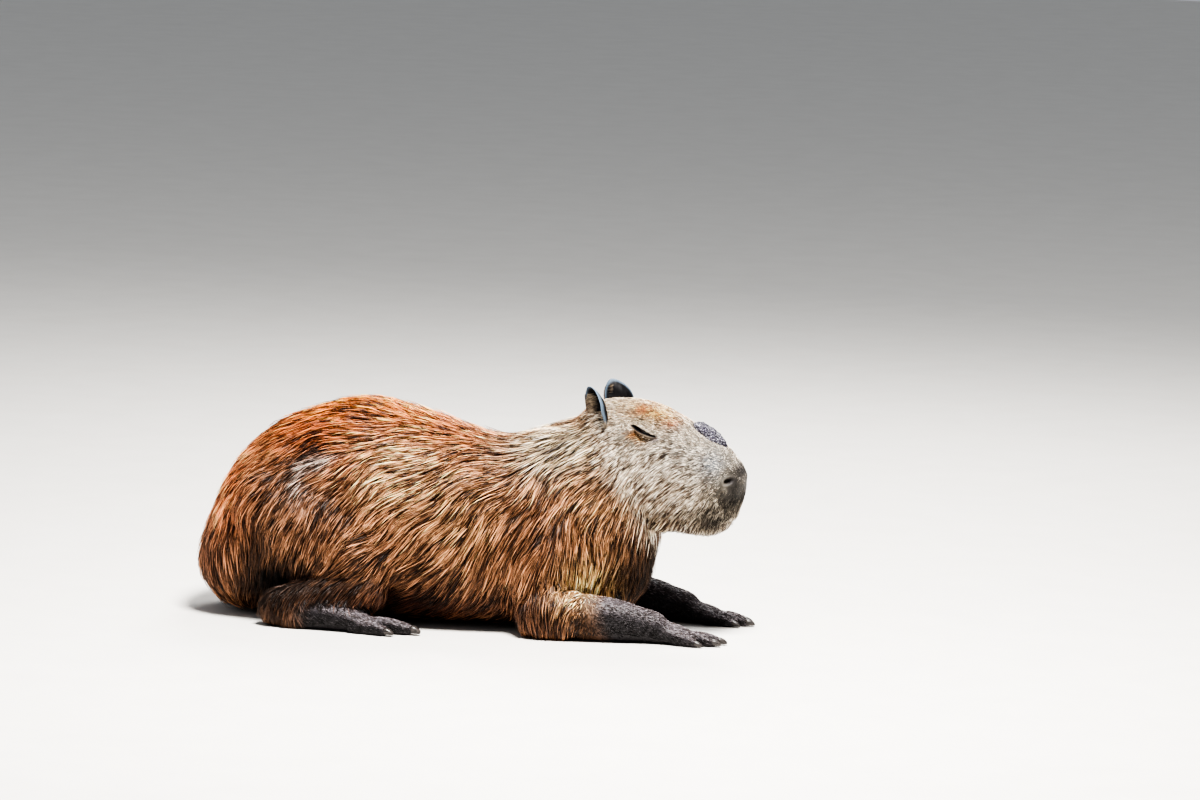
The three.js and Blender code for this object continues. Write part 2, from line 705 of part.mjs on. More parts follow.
function main() {
  const animal = new THREE.Group();
  const { cores, feet } = makeCores(animal);
  const bodies = Object.entries(cores).map(([name, core]) => meshOf(name, largest(core.solid)));
  bodies.push(meshOf("head", placedHead(headLoft.solid())), meshOf("feet", union(feet)));
  bodies.forEach((mesh) => mesh.updateMatrixWorld());
  const laid = layLocks(bodies, coated);
  let above = union(feet);
  const bare = Object.keys(cores).filter((name) => !coated.includes(name));
  for (const name of [...coated, ...bare]) {
    const locks = laid[name] ?? [];
    const fused = withLocks(name, cores, locks);
    const behindHead = name === "neck" ? beyond(fused, neckFront.top, neckFront.bottom, -1) : fused;
    addNode(animal, name, behindHead.subtract(above), finishes[name] ?? materials.coat);
    if (locks.length) above = above.add(union(locks.map((one) => one.grown)));
  }
  addHead(animal);
  const box = new THREE.Box3().setFromObject(animal, true);
  animal.position.set(-(box.min.x + box.max.x) / 2, -(box.min.y + box.max.y) / 2, 0);
  return animal;
}

export default main();
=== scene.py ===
# %% [markdown]
# # A capybara at rest
# A life-size model of an adult capybara that lies on its belly with the head raised and the eyes nearly
# shut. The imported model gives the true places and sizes. This script dresses it: one skin over the whole
# body, a coarse coat of solid tufts, and separate eyes, ears, claws and snout gland.

import math
from types import SimpleNamespace

import bpy
import numpy as np
from mathutils import Matrix, Vector, kdtree
from mathutils.bvhtree import BVHTree


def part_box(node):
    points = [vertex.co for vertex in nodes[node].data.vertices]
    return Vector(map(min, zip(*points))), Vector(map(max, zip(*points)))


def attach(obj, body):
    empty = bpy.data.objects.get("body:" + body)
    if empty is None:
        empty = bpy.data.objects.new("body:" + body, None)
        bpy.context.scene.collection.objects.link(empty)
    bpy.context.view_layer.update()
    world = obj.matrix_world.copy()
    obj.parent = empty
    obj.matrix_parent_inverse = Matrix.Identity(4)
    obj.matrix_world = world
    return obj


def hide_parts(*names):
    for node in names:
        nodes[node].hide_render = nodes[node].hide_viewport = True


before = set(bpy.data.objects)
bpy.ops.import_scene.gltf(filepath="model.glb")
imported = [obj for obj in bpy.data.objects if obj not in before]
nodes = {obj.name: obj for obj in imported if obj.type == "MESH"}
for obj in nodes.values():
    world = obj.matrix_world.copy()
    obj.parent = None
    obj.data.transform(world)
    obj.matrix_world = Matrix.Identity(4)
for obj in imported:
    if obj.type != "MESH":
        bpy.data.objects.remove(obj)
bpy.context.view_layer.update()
bpy.ops.object.select_all(action="DESELECT")
print(len(nodes), "nodes in the frame")

# %% [markdown]
# The body is measured in millimetres: x towards the nose, y to the animal's left, z up from the ground. The
# head has a frame of its own, turned a little about an upright axis at the nape. The right eye tells how far
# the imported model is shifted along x.

# %% Body and head frames
MM = 0.001
NAPE = 230.0
HEAD_TURN = math.radians(-9)
EYE = np.array((106.0, 50.5, 371.0))
EYE_RADIUS = 14.5


def head_to_body(points):
    """Points of the head's own frame, in the body's frame."""
    p = np.atleast_2d(np.asarray(points, float))
    c, s = math.cos(HEAD_TURN), math.sin(HEAD_TURN)
    return np.column_stack((NAPE + c * p[:, 0] - s * p[:, 1], s * p[:, 0] + c * p[:, 1], p[:, 2]))


def body_to_head(points):
    """The other way round."""
    p = np.atleast_2d(np.asarray(points, float))
    c, s = math.cos(HEAD_TURN), math.sin(HEAD_TURN)
    x = p[:, 0] - NAPE
    return np.column_stack((c * x + s * p[:, 1], -s * x + c * p[:, 1], p[:, 2]))


low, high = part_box("eye_right")
SHIFT = (low.x + high.x) / 2 / MM - head_to_body(EYE * (1, -1, 1))[0, 0]
print("the frame is shifted by", round(SHIFT, 2), "mm")


def to_frame(points):
    """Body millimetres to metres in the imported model's frame."""
    p = np.array(np.atleast_2d(points), float)
    p[:, 0] += SHIFT
    return p * MM


def to_body(points):
    """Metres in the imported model's frame to body millimetres."""
    p = np.array(np.atleast_2d(points), float) / MM
    p[:, 0] -= SHIFT
    return p


# %% [markdown]
# ## Camera, light and floor
# The animal was seen from its right side, a little from the front and from slightly above, with a long
# lens. A long lens far away keeps the body's proportions true.

# %% Camera
MM_PER_PIXEL = 1.8
PICTURE_WIDTH = 1200
AZIMUTH = math.radians(11)
ELEVATION = math.radians(8)
ROLL = math.atan(0.026)
DISTANCE = 12.0
AIM_RIGHT, AIM_UP = 225, 402
SENSOR = 36
right = Vector((math.cos(AZIMUTH), math.sin(AZIMUTH), 0))
back = Vector((
    math.sin(AZIMUTH) * math.cos(ELEVATION),
    -math.cos(AZIMUTH) * math.cos(ELEVATION),
    math.sin(ELEVATION),
))
up = back.cross(right)
aim = Vector(to_frame(np.array(right * AIM_RIGHT + up * AIM_UP))[0])
bpy.ops.object.camera_add(location=aim + back * DISTANCE)
camera = bpy.context.object
turn = Matrix((right, up, back)).transposed() @ Matrix.Rotation(ROLL, 3, "Z")
camera.rotation_euler = turn.to_euler()
camera.data.sensor_width = SENSOR
camera.data.lens = SENSOR * DISTANCE / (PICTURE_WIDTH * MM_PER_PIXEL * MM)
camera.data.clip_end = 60
bpy.context.scene.camera = camera
print("lens", round(camera.data.lens), "mm")

# %% [markdown]
# One strong lamp stands high on the camera's side, as the sun did. A weak one fills the shadows and one
# behind draws the outline. The coat's dark gaps need a look with strong contrast.

# %% Light and floor
MIDDLE = Vector((0, 0, 0.15))


def area_light(name, place, size, watts, colour=(1, 1, 1)):
    """A soft square lamp that faces the animal's middle."""
    bpy.ops.object.light_add(type="AREA", location=place)
    lamp = bpy.context.object
    lamp.name = name
    lamp.data.size = size
    lamp.data.energy = watts
    lamp.data.color = colour
    lamp.rotation_euler = (MIDDLE - Vector(place)).to_track_quat("-Z", "Y").to_euler()


area_light("key", (0.75, -1.35, 3.4), 0.9, 330, (1.0, 0.975, 0.94))
area_light("fill", (-2.6, -2.4, 1.4), 2.4, 12, (0.93, 0.96, 1.0))
area_light("rim", (0.2, 2.4, 2.6), 1.6, 70, (1.0, 0.98, 0.95))
world = bpy.data.worlds.new("studio")
bpy.context.scene.world = world
world.use_nodes = True
sky = world.node_tree.nodes["Background"].inputs
sky["Color"].default_value = (0.86, 0.9, 0.95, 1)
sky["Strength"].default_value = 0.3
view = bpy.context.scene.view_settings
view.view_transform = "AgX"
view.look = "AgX - Very High Contrast"
view.exposure = 0.32

bpy.ops.mesh.primitive_plane_add(size=30, location=(0, 0, 0))
floor = bpy.context.object
floor.name = "floor"
print(len(bpy.data.lights), "lamps and a floor")

# %% [markdown]
# Every finish is built from a shader, a few texture nodes and the colours that a mesh carries at its points.
# A few small helpers keep the lines short.


# %% Material helpers
def srgb(red, green, blue):
    """A colour as it is seen on a screen, 0 to 255, as the linear values that a shader takes."""
    share = np.array((red, green, blue)) / 255
    return tuple(np.where(share <= 0.04045, share / 12.92, ((share + 0.055) / 1.055) ** 2.4))


def new_material(name, roughness, **sockets):
    """A material with its shader's constant values set, and the tools to add nodes to it."""
    material = bpy.data.materials.new(name)
    material.use_nodes = True
    shader = material.node_tree.nodes["Principled BSDF"]
    shader.inputs["Roughness"].default_value = roughness
    for socket, value in sockets.items():
        shader.inputs[socket.replace("_", " ")].default_value = value
    return material, shader


def node(material, kind, inputs=(), **settings):
    """One shader node with its settings and the values or links of its inputs."""
    made = material.node_tree.nodes.new("ShaderNode" + kind)
    for key, value in settings.items():
        setattr(made, key, value)
    for key, value in dict(inputs).items():
        if isinstance(value, bpy.types.NodeSocket):
            material.node_tree.links.new(value, made.inputs[key])
        else:
            made.inputs[key].default_value = value
    return made


def mix(material, kind, factor, a, b):
    """A colour mix of two colours."""
    made = node(material, "Mix", data_type="RGBA", blend_type=kind)
    for index, value in ((0, factor), (6, a), (7, b)):
        if isinstance(value, bpy.types.NodeSocket):
            material.node_tree.links.new(value, made.inputs[index])
        else:
            made.inputs[index].default_value = value
    return made.outputs[2]


def link(material, source, target):
    material.node_tree.links.new(source, target)


def carried(material, name, output="Color"):
    """A colour or value that the mesh carries at its points."""
    return node(material, "Attribute", attribute_name=name).outputs[output]


def own_place(material):
    """The place on the object, in metres."""
    return node(material, "TexCoord").outputs["Object"]


def relief(material, shader, strength, depth, height):
    """Small bumps from a texture's height."""
    bumps = node(material, "Bump", {"Strength": strength, "Distance": depth, "Height": height})
    link(material, bumps.outputs["Normal"], shader.inputs["Normal"])


floor_material, floor_shader = new_material("pale_floor", 0.75)
grain = node(floor_material, "TexNoise", {"Vector": own_place(floor_material), "Scale": 9.0, "Detail": 4.0})
floor_tone = mix(floor_material, "MIX", grain.outputs["Fac"], (0.60, 0.58, 0.55, 1), (0.66, 0.64, 0.61, 1))
link(floor_material, floor_tone, floor_shader.inputs["Base Color"])
floor.data.materials.append(floor_material)

# %% [markdown]
# ## Skin
# Under its coat the animal is a set of soft, oval forms that run into each other: a heavy trunk, thighs and
# shanks folded against it, forelegs laid on the ground, a deep, blunt head. Each form is a loft, a tube of
# oval rings on a curve. A loft needs only a few stations, and the curve through them gives the rest.


# %% Lofts
def smooth_rows(rows, per_stretch):
    """A smooth curve through rows of numbers, with each stretch cut into equal steps."""
    rows = np.asarray(rows, float)
    padded = np.vstack((2 * rows[0] - rows[1], rows, 2 * rows[-1] - rows[-2]))
    out = []
    for i in range(len(rows) - 1):
        a, b, c, d = padded[i : i + 4]
        for t in np.arange(per_stretch) / per_stretch:
            bend = (2 * a - 5 * b + 4 * c - d) * t * t + (-a + 3 * b - 3 * c + d) * t**3
            out.append(0.5 * (2 * b + (c - a) * t + bend))
    return np.array(out + [rows[-1]])


def loft(stations, sides=40, per_stretch=6, flat=2.0, inset=0.0):
    """Vertices and faces of a closed loft.

    A station is x, y, z, half width, reach up and reach down, and the two end stations are points. A seventh
    number tilts the rings by so many degrees. Without it they stand square to the curve."""
    rows = smooth_rows(stations, per_stretch)
    centres, sizes = rows[:, :3], np.maximum(rows[:, 3:6] - inset, 0.0)
    forward = np.gradient(centres, axis=0)
    if rows.shape[1] == 7:
        tilt = np.radians(rows[:, 6])
        forward = np.column_stack((np.cos(tilt), np.zeros(len(tilt)), np.sin(tilt)))
    forward /= np.linalg.norm(forward, axis=1)[:, None]
    side = np.cross((0, 0, 1), forward)
    side /= np.linalg.norm(side, axis=1)[:, None]
    rise = np.cross(forward, side)
    angle = 2 * math.pi * np.arange(sides) / sides
    across = np.sign(np.cos(angle)) * np.abs(np.cos(angle)) ** (2 / flat)
    high_part = np.sign(np.sin(angle)) * np.abs(np.sin(angle)) ** (2 / flat)
    reach = np.where(np.sin(angle)[None] > 0, sizes[:, 1:2], sizes[:, 2:3])
    rings = (
        centres[:, None]
        + side[:, None] * (sizes[:, 0:1] * across)[..., None]
        + rise[:, None] * (reach * high_part)[..., None]
    )[1:-1]
    start = centres[0] + forward[0] * inset
    end = centres[-1] - forward[-1] * inset
    vertices = np.vstack((start, rings.reshape(-1, 3), end))
    count, last = len(rings), len(vertices) - 1
    faces = []
    for k in range(sides):
        n = (k + 1) % sides
        faces.append((0, 1 + n, 1 + k))
        faces.append((last, 1 + (count - 1) * sides + k, 1 + (count - 1) * sides + n))
        for i in range(count - 1):
            base = 1 + i * sides
            faces.append((base + k, base + n, base + sides + n, base + sides + k))
    return vertices, faces


def mesh_object(name, vertices_mm, faces):
    """An object from body millimetres."""
    mesh = bpy.data.meshes.new(name)
    mesh.from_pydata(to_frame(vertices_mm).tolist(), [], faces)
    made = bpy.data.objects.new(name, mesh)
    bpy.context.collection.objects.link(made)
    return made


def in_edit_mode(target, *steps):
    """Run edit steps on all of one mesh, with nothing else selected."""
    bpy.ops.object.select_all(action="DESELECT")
    target.select_set(True)
    bpy.context.view_layer.objects.active = target
    bpy.ops.object.mode_set(mode="EDIT")
    bpy.ops.mesh.select_all(action="SELECT")
    for step in steps:
        step()
    bpy.ops.object.mode_set(mode="OBJECT")

# %% [markdown]
# Each row is one ring of a form, measured to the outside of the coat. The head and the feet have frames of
# their own. Only the right side's limbs are listed, and the left ones mirror them.

# %% Stations of the body
TRUNK = [
    (-493, 0, 100, 0, 0, 0, 0),
    (-486, 0, 98, 58, 42, 43, 0),
    (-468, 0, 105, 100, 78, 77, 0),
    (-440, 0, 120, 130, 132, 116, 0),
    (-400, 0, 135, 150, 176, 141, 0),
    (-330, 0, 150, 166, 213, 158, 0),
    (-195, 0, 160, 176, 243, 168, 0),
    (-60, 0, 160, 174, 216, 168, 2),
    (77, 0, 160, 160, 189, 170, 10),
    (170, -1, 176, 142, 194, 192, 19),
    (244, -4, 222, 118, 175, 175, 25),
    (271, -7, 260, 100, 150, 150, 26),
    (291, -10, 302, 84, 122, 122, 27),
    (330, -16, 320, 0, 0, 0, 27),
]
HAUNCH = [
    (-398, -95, 232, 0, 0, 0),
    (-376, -104, 222, 56, 62, 72),
    (-318, -117, 186, 72, 98, 108),
    (-240, -125, 146, 72, 102, 104),
    (-168, -128, 112, 62, 80, 78),
    (-122, -132, 94, 40, 48, 48),
    (-98, -134, 86, 0, 0, 0),
]
SHANK = [
    (-118, -140, 70, 0, 0, 0),
    (-150, -148, 66, 34, 40, 40),
    (-230, -162, 52, 36, 40, 56),
    (-300, -170, 40, 32, 36, 44),
    (-334, -171, 33, 22, 24, 28),
    (-350, -171, 30, 0, 0, 0),
]
UPPER_ARM = [
    (196, -88, 250, 0, 0, 0),
    (190, -96, 228, 34, 40, 40),
    (172, -110, 168, 46, 58, 58),
    (150, -124, 104, 44, 54, 54),
    (134, -130, 66, 34, 40, 40),
    (130, -132, 44, 0, 0, 0),
]
FOREARM = [
    (112, -134, 40, 0, 0, 0),
    (134, -134, 40, 34, 36, 36),
    (200, -132, 42, 40, 44, 44),
    (280, -127, 38, 35, 41, 41),
    (335, -121, 31, 28, 33, 33),
    (372, -116, 25, 25, 26, 26),
    (392, -114, 22, 0, 0, 0),
]
HEAD = [
    (-40, 0, 330, 0, 0, 0, 0),
    (-25, 0, 322, 58, 72, 72, 0),
    (10, 0, 308, 76, 108, 100, 0),
    (60, 0, 300, 80, 121, 104, 0),
    (108, 0, 300, 74, 115, 106, 0),
    (157, 0, 292, 62, 103, 101, 0),
    (200, 0, 280, 54, 92, 93, 0),
    (232, 0, 274, 52, 80, 82, 0),
    (255, 0, 275, 46, 57, 60, 0),
    (270, 0, 283, 33, 28, 32, 0),
    (277, 0, 287, 0, 0, 0, 0),
]
FORE_SOLE = [
    (-20, 0, 22, 0, 0, 0),
    (-8, 0, 22, 22, 22, 24),
    (26, 0, 18, 29, 19, 20),
    (54, 0, 13, 31, 14, 15),
    (68, 0, 10, 0, 0, 0),
]
HIND_SOLE = [
    (-16, 0, 26, 0, 0, 0),
    (0, 0, 26, 22, 22, 28),
    (60, 0, 28, 25, 24, 30),
    (118, 0, 22, 29, 20, 24),
    (148, 0, 15, 30, 14, 17),
    (164, 0, 11, 0, 0, 0),
]
# Each toe: its name, root, tip and half width.
FORE_TOES = [
    ("outer", (34, -20), (82, -32), 8.5),
    ("second", (38, -8), (112, -14), 9.5),
    ("third", (38, 6), (120, 8), 9.5),
    ("inner", (34, 19), (98, 28), 8.5),
]
HIND_TOES = [
    ("outer", (120, -18), (198, -34), 10.5),
    ("middle", (126, 1), (240, -6), 12),
    ("inner", (120, 19), (222, 24), 10.5),
]
FORE_ROOT = (362, -115, 2)
HIND_ROOT = (-296, -178, -1)
FORE_LEAD = 14.0
KNUCKLE = 6.0


def toe_stations(root, tip, wide):
    """A toe that arches over its knuckle and comes down on its tip."""
    root, tip = np.array(root, float), np.array(tip, float)
    base = wide * 0.86
    rows = (
        (-0.1, base + 2, 0, 0, 0),
        (0.05, base + 3, wide, wide, wide + 3),
        (0.5, base + KNUCKLE, wide, wide * 0.95, wide + KNUCKLE),
        (0.86, base, wide * 0.92, wide * 0.8, wide),
        (1.0, base * 0.8, 0, 0, 0),
    )
    return [(*(root + (tip - root) * share), z, w, u, d) for share, z, w, u, d in rows]


def foot_place(points, root, side, lead):
    """Points of a foot's own frame, in the body's frame.

    side is -1 on the animal's right and 1 on its left."""
    x0, y0, turn_degrees = root
    angle = math.radians(turn_degrees)
    c, s = math.cos(angle), math.sin(angle)
    p = np.atleast_2d(np.asarray(points, float))
    x = x0 + lead + c * p[:, 0] - s * p[:, 1]
    y = y0 + s * p[:, 0] + c * p[:, 1]
    return np.column_stack((x, y * -side, p[:, 2]))

# %% [markdown]
# Each form is drawn in by the depth of its hair. All of them then make one mesh of closed forms that cross
# each other.

# %% Join the forms
COAT_DEPTH = 11.0
parts = [loft(TRUNK, 72, 8, 2.2, COAT_DEPTH)]
head_vertices, head_faces = loft(HEAD, 56, 6, 2.6, 3.0)
parts.append((head_to_body(head_vertices), head_faces))
for side in (-1, 1):
    mirror = np.array((1, -side, 1))
    lead = FORE_LEAD if side == 1 else 0.0
    limbs = ((HAUNCH, COAT_DEPTH, 0), (SHANK, 3.5, 0), (UPPER_ARM, COAT_DEPTH, 0), (FOREARM, 2.0, lead))
    for stations, inset, ahead in limbs:
        vertices, faces = loft(stations, 36, 6, 2.0, inset)
        parts.append(((vertices + (ahead, 0, 0)) * mirror, faces))
    for sole, toes, root, ahead in (
        (FORE_SOLE, FORE_TOES, FORE_ROOT, lead),
        (HIND_SOLE, HIND_TOES, HIND_ROOT, 0),
    ):
        for stations in [sole] + [toe_stations(a, b, wide) for _, a, b, wide in toes]:
            vertices, faces = loft(stations, 24, 5, 2.0, 0.7)
            parts.append((foot_place(vertices, root, side, ahead), faces))

vertices, faces = [], []
for part_vertices, part_faces in parts:
    start = sum(len(v) for v in vertices)
    vertices.append(part_vertices)
    faces.extend(tuple(i + start for i in face) for face in part_faces)
skin = mesh_object("skin", np.vstack(vertices), faces)
in_edit_mode(skin, bpy.ops.mesh.normals_make_consistent)
print(len(parts), "forms joined")


# %% [markdown]
# A voxel remesh turns the pile of forms into one closed surface. Smoothing then blends where the limbs
# meet the trunk, and spares the head and feet. The nape, wrists and ankles are smoothed once more.


# %% One surface
def smoothstep(low_end, high_end, value):
    t = np.clip((value - low_end) / (high_end - low_end), 0, 1)
    return t * t * (3 - 2 * t)


def vertex_array(target):
    flat_list = np.empty(len(target.data.vertices) * 3, np.float32)
    target.data.vertices.foreach_get("co", flat_list)
    return flat_list.reshape(-1, 3).astype(float)


def apply_modifier(target, kind, **settings):
    bpy.context.view_layer.objects.active = target
    modifier = target.modifiers.new(kind.lower(), kind)
    for key, value in settings.items():
        setattr(modifier, key, value)
    bpy.ops.object.modifier_apply(modifier=modifier.name)


def weights(target, name, values):
    """A vertex group with one weight for each vertex, in steps of a twentieth."""
    group = target.vertex_groups.new(name=name)
    steps = np.round(np.clip(values, 0, 1) * 20).astype(int)
    for step in np.unique(steps):
        group.add(np.flatnonzero(steps == step).tolist(), step / 20, "REPLACE")


def vertex_normals(target):
    flat_list = np.empty(len(target.data.vertices) * 3, np.float32)
    target.data.vertices.foreach_get("normal", flat_list)
    return flat_list.reshape(-1, 3).astype(float)


VOXEL = 0.003
apply_modifier(skin, "REMESH", mode="VOXEL", voxel_size=VOXEL)
body_points = to_body(vertex_array(skin))
in_head = body_to_head(body_points)
head_share = smoothstep(-20, 40, in_head[:, 0] - 0.25 * (330 - in_head[:, 2]))
foot_share = smoothstep(75, 45, body_points[:, 2]) * smoothstep(110, 140, np.abs(body_points[:, 1]))
foot_share = np.maximum(foot_share, smoothstep(310, 340, body_points[:, 0]) * (body_points[:, 2] < 90))
weights(skin, "blend", 1 - 0.93 * np.maximum(head_share, foot_share))
apply_modifier(skin, "SMOOTH", factor=0.5, iterations=26, vertex_group="blend")
side_far = np.abs(body_points[:, 1])
JOINTS = (
    ((374 + FORE_LEAD / 2, 115, 22), 34),
    ((-284, 172, 34), 34),
    ((NAPE - 8, 0, 398), 62),
)
joint_share = np.zeros(len(body_points))
for place, reach in JOINTS:
    far = np.linalg.norm(np.column_stack((body_points[:, 0], side_far, body_points[:, 2])) - place, axis=1)
    joint_share = np.maximum(joint_share, np.exp(-((far / reach) ** 2)))
weights(skin, "joints", joint_share)
apply_modifier(skin, "SMOOTH", factor=0.5, iterations=50, vertex_group="joints")
print(len(skin.data.vertices), "vertices in the skin")

# %% [markdown]
# The skin under the coat can be coarse, but the face can't. The whole is thinned first, with the head and
# feet spared, and the faces round the eyes, nostrils and mouth are cut finer again.


# %% Fine faces where they count
THINNED = 0.3
weights(skin, "thin", 1 - np.maximum(head_share, foot_share))
apply_modifier(skin, "DECIMATE", ratio=THINNED, vertex_group="thin", vertex_group_factor=1.0)
NOSTRIL = np.array((259.0, 33.0, 290.0))
SLANT = math.radians(21)
MOUTH_LEVEL = 215.0


def near_face_features(p):
    """Whether places on the head lie near an eye, a nostril or the mouth."""
    eye_far = np.linalg.norm((p - EYE * (1, 0, 1)) * (1, 0, 1), axis=1)
    nostril_far = np.linalg.norm((p - NOSTRIL * (1, 0, 1)) * (1, 0, 1), axis=1)
    mouth_far = np.abs(p[:, 2] - MOUTH_LEVEL + 3)
    face = np.abs(p[:, 1]) > 30
    at_eye = (eye_far < 36) & face & (p[:, 0] > 40)
    at_mouth = (mouth_far < 6) & (p[:, 0] > 180)
    return at_eye | (nostril_far < 16) | at_mouth


bpy.context.view_layer.objects.active = skin
for _ in range(2):
    middles = np.array([polygon.center for polygon in skin.data.polygons])
    bpy.ops.object.mode_set(mode="EDIT")
    bpy.ops.mesh.select_mode(type="FACE")
    bpy.ops.object.mode_set(mode="OBJECT")
    skin.data.polygons.foreach_set("select", near_face_features(body_to_head(to_body(middles))))
    bpy.ops.object.mode_set(mode="EDIT")
    bpy.ops.mesh.subdivide(number_cuts=1)
    bpy.ops.object.mode_set(mode="OBJECT")
in_edit_mode(skin, bpy.ops.mesh.quads_convert_to_tris)
bpy.ops.object.shade_smooth()
print(len(skin.data.polygons), "triangles in the skin")


# %% [markdown]
# ## Face
# The eyes are nearly shut, so lids, creases and bags make the look of the face. Each is a soft rise or dent,
# given by its distance from a line or a place, and every vertex of the skin moves by the sum of them.


# %% Places on the face
def mirrored(points):
    """Points with both sides folded onto the animal's left."""
    return np.column_stack((points[:, 0], np.abs(points[:, 1]), points[:, 2]))


def bump(distance, radius):
    """1 at no distance, falling smoothly to 0 at the radius."""
    return 1 - smoothstep(0, 1, distance / radius)


def eye_coordinates(p):
    """Along the slit between the lids, up across it, and out of the head, from the eye's middle."""
    q = mirrored(p) - EYE
    along = q[:, 0] * math.cos(SLANT) + -q[:, 2] * math.sin(SLANT)
    rise = q[:, 0] * math.sin(SLANT) + q[:, 2] * math.cos(SLANT)
    return along, rise, q[:, 1]


SLIT_HALF = 25.0


def lid_distance(along, rise):
    """How far places lie from the slit between the lids, and less than 0 inside it."""
    share = np.clip(1 - (along / SLIT_HALF) ** 2, 0, 1)
    back_share = smoothstep(SLIT_HALF, -SLIT_HALF * 0.8, along)
    upper = share**0.6 * (1.2 + 3.4 * back_share)
    lower = share**0.6 * (1.4 + 1.5 * back_share)
    return np.maximum(rise - upper, -lower - rise)


def nostril_distance(p):
    """1 on the nostril's edge, less inside it: a slanted oval on each side of the nose."""
    q = mirrored(p) - NOSTRIL
    far = np.hypot((q[:, 0] * 0.86 + q[:, 2] * 0.5) / 9.0, (q[:, 2] * 0.86 - q[:, 0] * 0.5) / 6.0)
    return np.where(p[:, 0] > 235, far, 9.0)


def above_mouth(p):
    """The height over the line of the mouth."""
    return p[:, 2] - MOUTH_LEVEL + 4 * np.sin(math.pi * np.clip((p[:, 0] - 182) / 76, 0, 1))


# %% Lids, creases and brow
LID = 3.2
SLIT_DEPTH = 9
# Each row: amount, height over the slit, bend, width, middle along the slit, and reach along it.
EYE_FOLDS = (
    (-2.2, 14, -0.012, 1.9, 0, 36),
    (-1.9, -10, 0.012, 1.6, 0, 32),
    (-1.2, -17, 0.014, 1.7, -5, 28),
    (3.0, 23, 0, 7.5, -4, 44),
)
local = body_to_head(to_body(vertex_array(skin)))
start = local.copy()
outward = body_to_head(vertex_normals(skin) + (NAPE, 0, 0))
side_sign = np.sign(local[:, 1])
along, rise, out = eye_coordinates(local)
# The skin near the eye is drawn out over the ball, with the lids' thickness between them.
ball = LID + EYE_RADIUS
spread = np.hypot(along * 0.72, rise)
over = np.sqrt(np.clip(ball**2 - spread**2, 0, None))
lift = np.clip(over - out, -6, 11) * smoothstep(1.15, 0.8, spread / ball)
# Creases over the upper lid and under the lower one, bags beneath, and the brow.
for amount, level, bend, wide, middle, reach in EYE_FOLDS:
    far = (rise - level - bend * along**2) / wide
    lift += amount * np.exp(-(far**2)) * bump(np.abs(along - middle), reach)
lid_far = lid_distance(along, rise)
in_slit = (lid_far < 0) & (np.abs(along) < SLIT_HALF) & (out > 0)
lift += 1.5 * np.exp(-((lid_far / 2.2) ** 2)) * (np.abs(along) < SLIT_HALF) * ~in_slit * (out > 0)
lift = np.where(in_slit, lift - SLIT_DEPTH, lift)
local[:, 1] += lift * side_sign * (out > -20) * (np.abs(spread) < 60)

# %% Nostrils and mouth
# Nostrils are slanted pits, each with a raised wing.
pit = nostril_distance(local)
inward = np.column_stack((np.full(len(local), -0.75), -0.66 * side_sign, np.full(len(local), 0.1)))
local += inward * (11 * bump(pit, 1.0) - 1.2 * np.exp(-(((pit - 1.3) / 0.35) ** 2)))[:, None]
# The mouth is a thin line round the snout, with a full upper lip.
height = above_mouth(local)
groove = -3.0 * np.exp(-((height / 1.6) ** 2)) + 2.4 * np.exp(-(((height - 8) / 6.5) ** 2))
groove += 1.0 * np.exp(-(((height + 7) / 4.5) ** 2))
local += outward * (groove * smoothstep(174, 194, local[:, 0]))[:, None]
# The upper lip is split under the nose.
cleft = np.exp(-((local[:, 1] / 1.8) ** 2)) * (local[:, 0] > 245) * smoothstep(282, 270, local[:, 2])
local += outward * (-2.4 * cleft * (height > -2))[:, None]
changed = np.abs(local - start).max(1) > 1e-6
skin_co = vertex_array(skin)
skin_co[changed] = to_frame(head_to_body(local[changed]))
print(int(changed.sum()), "vertices moved on the face")

# %% [markdown]
# A folded leg pushes the skin up into a fold over the hip, and leaves a groove behind the thigh. Both are
# lines on the animal's side, and the flesh swells beside them. The toes get fine creases.


# %% Folds and toe creases
HIP_FOLD = ((-290, 246), (-296, 274), (-284, 300), (-256, 316), (-226, 318))
THIGH_GROOVE = ((-352, 236), (-360, 196), (-352, 150), (-330, 112))


def path_distance(points, path):
    """How far points lie from a line through places given along and above."""
    best = np.full(len(points), 1e9)
    flat = points[:, (0, 2)]
    for a, b in zip(np.array(path[:-1], float), np.array(path[1:], float)):
        share = np.clip((flat - a) @ (b - a) / ((b - a) @ (b - a)), 0, 1)
        best = np.minimum(best, np.linalg.norm(flat - a - share[:, None] * (b - a), axis=1))
    return best


body_points = to_body(skin_co)
at_side = smoothstep(50, 80, np.abs(body_points[:, 1]))
hip_far = path_distance(body_points, HIP_FOLD)
thigh_far = path_distance(body_points, THIGH_GROOVE)
swell = -7 * np.exp(-((hip_far / 8) ** 2)) + 4 * np.exp(-(((hip_far - 20) / 11) ** 2))
swell += -8 * np.exp(-((thigh_far / 13) ** 2)) + 3 * np.exp(-(((thigh_far - 28) / 13) ** 2))
skin_co += vertex_normals(skin) * (swell * at_side * MM)[:, None]
x, y, z = to_body(skin_co).T
fore_toes = smoothstep(400, 425, x)
hind_toes = smoothstep(-160, -130, x) * (x < -40)
toe_share = smoothstep(26, 10, z) * (np.abs(y) > 70) * np.maximum(fore_toes, hind_toes)
ripple = 0.5 * np.sin(x * 0.72 + 2 * np.sin(y * 0.11)) * toe_share
skin_co += vertex_normals(skin) * (ripple * (z > 5) * MM)[:, None]
OFF_GROUND = 0.2
skin_co[:, 2] = np.maximum(skin_co[:, 2], OFF_GROUND * MM)
skin.data.vertices.foreach_set("co", skin_co.astype(np.float32).ravel())
skin.data.update()
print("the deepest fold is", round(-float(swell.min()), 1), "mm")

